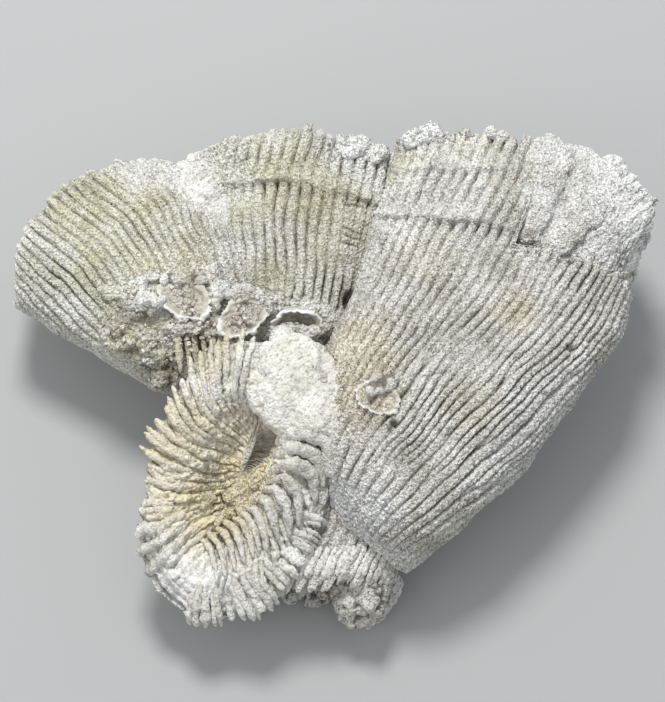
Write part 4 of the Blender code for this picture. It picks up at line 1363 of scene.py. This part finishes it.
def stoneTrees():
    # the stone so far, ready to be looked down on
    graph = bpy.context.evaluated_depsgraph_get()
    meshes = [thing for thing in bpy.context.scene.objects if thing.type == "MESH"]
    stones = [thing for thing in meshes if "coralStone" in thing.data.materials]
    return [BVHTree.FromObject(stone, graph) for stone in stones]


def castDown(trees, x, y):
    # the highest stone under a point, and which way it faces
    above = 120
    best = None
    for tree in trees:
        place, normal, _, _ = tree.ray_cast(Vector((x, y, above)) * millimetre, Vector((0, 0, -1)))
        if place is not None and (best is None or place.z > best[0].z):
            best = (place, normal)
    return best


def onStone(trees, lumps, turn):
    # x, y, radii and height above the stone become centre, radii and turn
    placed = []
    for x, y, radii, lift in lumps:
        surface, _ = castDown(trees, x, y)
        placed.append(((x, y, surface.z / millimetre + lift), radii, turn))
    return placed


# x, y, radii, height of the middle above the stone; the same in furrowSand and rimClusters
leftRubble = [
    (-37, 11, (5.0, 4.2, 2.6), -0.7), (-31.5, 8, (5.0, 4.0, 2.6), -0.5),
    (-33.5, 15.5, (4.6, 3.0, 2.0), -0.5), (-25, 11.5, (5.4, 2.4, 2.2), -0.1),
    (-18.5, 10.8, (5.0, 2.2, 2.2), 0.1), (-30, 3.8, (3.2, 2.6, 2.2), -0.4),
    (-39.5, 17.5, (3.0, 2.2, 1.4), -0.2), (-31.8, 19.2, (1.8, 1.5, 1.2), 0.3),
    (-34.5, 18.2, (2.0, 1.6, 1.3), 0.3), (-19.3, 17.6, (1.7, 1.7, 1.4), 0.5),
    (-20.6, 20.4, (0.9, 0.9, 0.9), 0.4), (-9.5, 15.5, (2.8, 2.0, 1.3), 0.0),
    (-24, 19.5, (4.5, 1.8, 1.2), -0.1), (-34, 16, (2.4, 2.0, 1.6), 0.9),
    (-31, 14.6, (1.8, 1.5, 1.4), 1.0), (-21, 14.6, (1.7, 1.5, 1.3), 1.2),
    (-18.6, 17.8, (0.9, 0.9, 0.9), 1.2), (-4.6, 10.4, (3.6, 1.6, 1.4), 0.6),
    (10.8, -6.6, (3.2, 1.7, 1.1), 0.7), (12, -5.4, (3.4, 2.0, 1.3), 0.2),
    (-1.1, 7.4, (1.2, 1.2, 0.9), 0.2), (-3.5, 8.0, (3.5, 2.0, 1.6), 0.0),
]
shellSilt = [
    ((-25.9, 16.6, 30.6), (4.4, 2.9, 1.2), (14, 0)), ((-14.9, 13.6, 29.4), (3.4, 2.3, 1.1), (17, 0)),
    ((-14.2, 11.8, 29.2), (2.2, 1.5, 1.0), (17, 0)), ((-25.5, 19.2, 32.0), (5.0, 1.9, 1.5), (14, 0)),
    ((-14.4, 16.5, 30.9), (4.0, 1.6, 1.3), (17, 0)), ((11.4, -6.2, 39.0), (3.6, 2.0, 1.2), (20, 10)),
    ((-4.6, 9.6, 28.9), (4.6, 1.5, 1.5), (20, 0)), ((-20.2, 16.6, 31.4), (1.5, 2.2, 1.5), (14, 0)),
    ((-10.6, 15.0, 29.8), (1.6, 2.2, 1.5), (17, 0)),
]
upperBridge = [
    ((41.2, 35.0, 40.9), (4.6, 10.5, 2.5), (0, -14)), ((46.6, 33.5, 39.2), (6.5, 11.0, 2.2), (0, -14)),
    ((38.4, 25.4, 39.6), (3.0, 3.0, 2.4), (0, 0)), ((43.0, 24.0, 38.4), (4.5, 3.2, 1.8), (0, 0)),
    ((44.0, 39.0, 41.0), (4.0, 3.6, 2.0), (0, 20)), ((49.5, 31.0, 39.2), (4.0, 5.5, 2.2), (0, 0)),
]
edgeKnobs = [
    ((53.2, 42.4, 34.3), (2.0, 1.5, 1.6), (0, 0)), ((58.0, 39.0, 33.6), (2.2, 1.7, 1.6), (0, 0)),
    ((61.6, 35.2, 32.6), (2.7, 1.4, 1.4), (0, 0)), ((61.0, 28.5, 31.6), (1.7, 2.5, 1.6), (0, 0)),
    ((58.0, 21.8, 30.2), (1.6, 2.3, 1.6), (0, 0)),
]
furrowSand = [
    (-15.5, -18.5, (3.4, 2.2, 1.2), -0.5), (-11.8, -17.5, (2.6, 1.8, 1.2), -0.4),
    (-18.5, -23, (3.2, 1.8, 1.1), -0.5), (-22, -21.5, (2.8, 1.5, 1.0), -0.5),
    (-14, -21.5, (2.4, 1.5, 1.0), -0.4),
]
rimClusters = [
    (20.3, 45.3, (2.5, 1.9, 1.8), 0.3), (24.9, 46.2, (1.7, 1.6, 1.8), 0.8),
    (28.7, 45.0, (2.0, 1.4, 1.3), 0.3), (6.3, 46.2, (3.2, 2.0, 1.6), 0.0),
    (10.5, 45.3, (2.4, 1.8, 1.4), 0.2), (17.2, 44.4, (2.0, 1.8, 1.4), 0.2),
    (34, 44, (1.6, 1.2, 1.0), 0.2), (32, 44.6, (1.1, 1.1, 1.2), 0.5),
]
stone = stoneTrees()
leftRubble = onStone(stone, leftRubble, (20, 15))
furrowSand = onStone(stone, furrowSand, (10, 40))
rimClusters = onStone(stone, rimClusters, (10, 30))
stoneMass("leftRubble", leftRubble, coralStone, cell=0.34, rough=0.3, smoothing=2)
stoneMass("shellSilt", shellSilt, coralStone, cell=0.3, rough=0.22, smoothing=2)
stoneMass("upperBridge", upperBridge, coralStone, cell=0.34, rough=0.13, smoothing=8)
stoneMass("edgeKnobs", edgeKnobs, coralStone, cell=0.34, rough=0.3, smoothing=2)
stoneMass("furrowSand", furrowSand, coralStone, cell=0.32, rough=0.25, smoothing=2)
stoneMass("rimClusters", rimClusters, coralStone, cell=0.32, rough=0.1, smoothing=6)


def crumbShape():
    # a cube with two squares along each edge, rounded: 26 points and 24 faces
    cells = [cell for cell in itertools.product((-1, 0, 1), repeat=3) if any(cell)]
    index = {cell: i for i, cell in enumerate(cells)}
    faces = []
    for axis, side in itertools.product(range(3), (-1, 1)):
        for a, b in itertools.product((-1, 0), repeat=2):
            corners = [(a, b), (a + 1, b), (a + 1, b + 1), (a, b + 1)]
            square = [index[tuple(np.insert(corner, axis, side).tolist())] for corner in corners]
            faces.append(square if (side > 0) == (axis != 1) else square[::-1])
    points = np.array(cells, float)
    return points / np.linalg.norm(points, axis=1, keepdims=True) ** 0.85, np.array(faces)


crumbLook = {
    "lowest": 4,                  # mm; crumbs that would lie below this are left out
    "unevenness": 0.22,
    "proportions": (1.0, 0.85, 0.7),
    "rise": 0.1,                  # share of a crumb's size between its middle and the stone
}


def crumbField(name, areas, trees, finish):
    shape, faces = crumbShape()
    rng = np.random.default_rng(31)
    points, masks = [], {"white": [], "ochre": [], "groove": []}
    for x, y, halfWidth, halfHeight, count, small, large, white, ochre in areas:
        for _ in range(count):
            angle = rng.uniform(0, 2 * math.pi)
            away = math.sqrt(rng.uniform())
            across = x + halfWidth * away * math.cos(angle)
            found = castDown(trees, across, y + halfHeight * away * math.sin(angle))
            if found is None or found[0].z < crumbLook["lowest"] * millimetre:
                continue
            size = small + (large - small) * rng.uniform() ** 2.5
            turn = np.array(Euler(rng.uniform(0, 6.28, 3)).to_matrix())
            uneven = 1 + crumbLook["unevenness"] * rng.uniform(-1, 1, (len(shape), 1))
            rock = shape * uneven * np.array(crumbLook["proportions"]) * size
            rock = rock @ turn.T
            facing = np.array(found[1])
            points.append(rock + np.array(found[0]) / millimetre + facing * size * crumbLook["rise"])
            masks["white"].append(np.full(len(shape), white * rng.uniform() ** 0.5))
            masks["ochre"].append(np.full(len(shape), ochre * rng.uniform() ** 0.7))
            # painted shade: each crumb is darker on its side toward the stone
            masks["groove"].append(np.clip(0.25 - 0.5 * (rock @ facing) / size, 0, 0.6))
    total = len(points)
    allFaces = (faces[None] + len(shape) * np.arange(total)[:, None, None]).reshape(-1, 4)
    masks = {mask: np.concatenate(values) for mask, values in masks.items()}
    piece = addPiece(name, np.concatenate(points), allFaces.tolist(), masks, finish)
    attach(piece, "root")
    print(f"{name}: {total} crumbs")


# x, y, half width, half height, count, smallest, largest, whiteness, ochre
crumbAreas = [
    (-32, 11, 10, 7, 150, 0.2, 0.8, 0.9, 0.35),
    (-21, 11, 9, 4.5, 80, 0.2, 0.7, 0.7, 0.45),
    (-8, 14, 9, 4, 120, 0.15, 0.6, 0.6, 0.3),
    (-16, -19, 7, 5, 700, 0.12, 0.36, 0.2, 0.9),
    (-22, -12, 9, 12, 250, 0.12, 0.3, 0.6, 0.5),
    (22, 45.5, 8, 2.5, 200, 0.15, 0.45, 1.0, 0.1),
    (8, 45.5, 8, 2.5, 150, 0.15, 0.45, 0.9, 0.2),
    (-19, 43, 6, 5, 100, 0.15, 0.4, 0.8, 0.3),
    (45, 27, 11, 10, 300, 0.12, 0.3, 0.8, 0.2),
    (25, 5, 30, 25, 400, 0.12, 0.3, 0.8, 0.15),
    (-40, 28, 14, 14, 100, 0.12, 0.25, 0.8, 0.2),
    (0, 28, 12, 14, 100, 0.12, 0.25, 0.8, 0.2),
    (9, -30, 8, 6, 200, 0.15, 0.35, 0.9, 0.0),
]
crumbField("crumbs", crumbAreas, stoneTrees(), coralStone)


# lengths in metres from here on
studio = {
    "floor": {"size": 4.0, "height": -0.00005, "colour": (0.42, 0.42, 0.415, 1), "roughness": 0.9},
    "lampTarget": (0, 0.006, 0.02),
    "key": {"place": (-0.05, 0.21, 0.54), "size": 0.16, "power": 2.58},
    "fill": {"place": (-0.40, -0.30, 0.45), "size": 0.5, "power": 0.7},
    "sky": {"colour": (0.9, 0.95, 1.0, 1), "strength": 0.6},
    "camera": {"target": (0.002, 0.006, 0.028), "elevation": 65.0, "distance": 0.48, "lens": 130.6},
}


def paleFloor(size, height, colour, roughness):
    bpy.ops.mesh.primitive_plane_add(size=size, location=(0, 0, height))
    floor = bpy.context.object
    floor.name = "floor"
    material = bpy.data.materials.new("paleFloor")
    material.use_nodes = True
    shader = material.node_tree.nodes["Principled BSDF"]
    shader.inputs["Base Color"].default_value = colour
    shader.inputs["Roughness"].default_value = roughness
    floor.data.materials.append(material)


def softLamp(name, place, size, power):
    lamp = bpy.data.lights.new(name, "AREA")
    lamp.shape = "DISK"
    lamp.size = size
    lamp.energy = power
    holder = bpy.data.objects.new(name, lamp)
    bpy.context.scene.collection.objects.link(holder)
    holder.location = place
    towards = Vector(studio["lampTarget"]) - Vector(place)
    holder.rotation_euler = towards.to_track_quat("-Z", "Y").to_euler()


def paleSky(colour, strength):
    world = bpy.data.worlds.new("studio")
    world.use_nodes = True
    background = world.node_tree.nodes["Background"]
    background.inputs["Color"].default_value = colour
    background.inputs["Strength"].default_value = strength
    bpy.context.scene.world = world


def overheadCamera(target, elevation, distance, lens):
    data = bpy.data.cameras.new("camera")
    data.lens = lens
    data.sensor_width = 36.0
    data.clip_start = 0.01
    camera = bpy.data.objects.new("camera", data)
    bpy.context.scene.collection.objects.link(camera)
    angle = math.radians(elevation)
    camera.location = Vector(target) + distance * Vector((0, -math.cos(angle), math.sin(angle)))
    camera.rotation_euler = (math.radians(90 - elevation), 0, 0)
    bpy.context.scene.camera = camera


paleFloor(**studio["floor"])
softLamp("key", **studio["key"])
softLamp("fill", **studio["fill"])
paleSky(**studio["sky"])
bpy.context.scene.view_settings.view_transform = "Standard"
overheadCamera(**studio["camera"])
print("studio set")
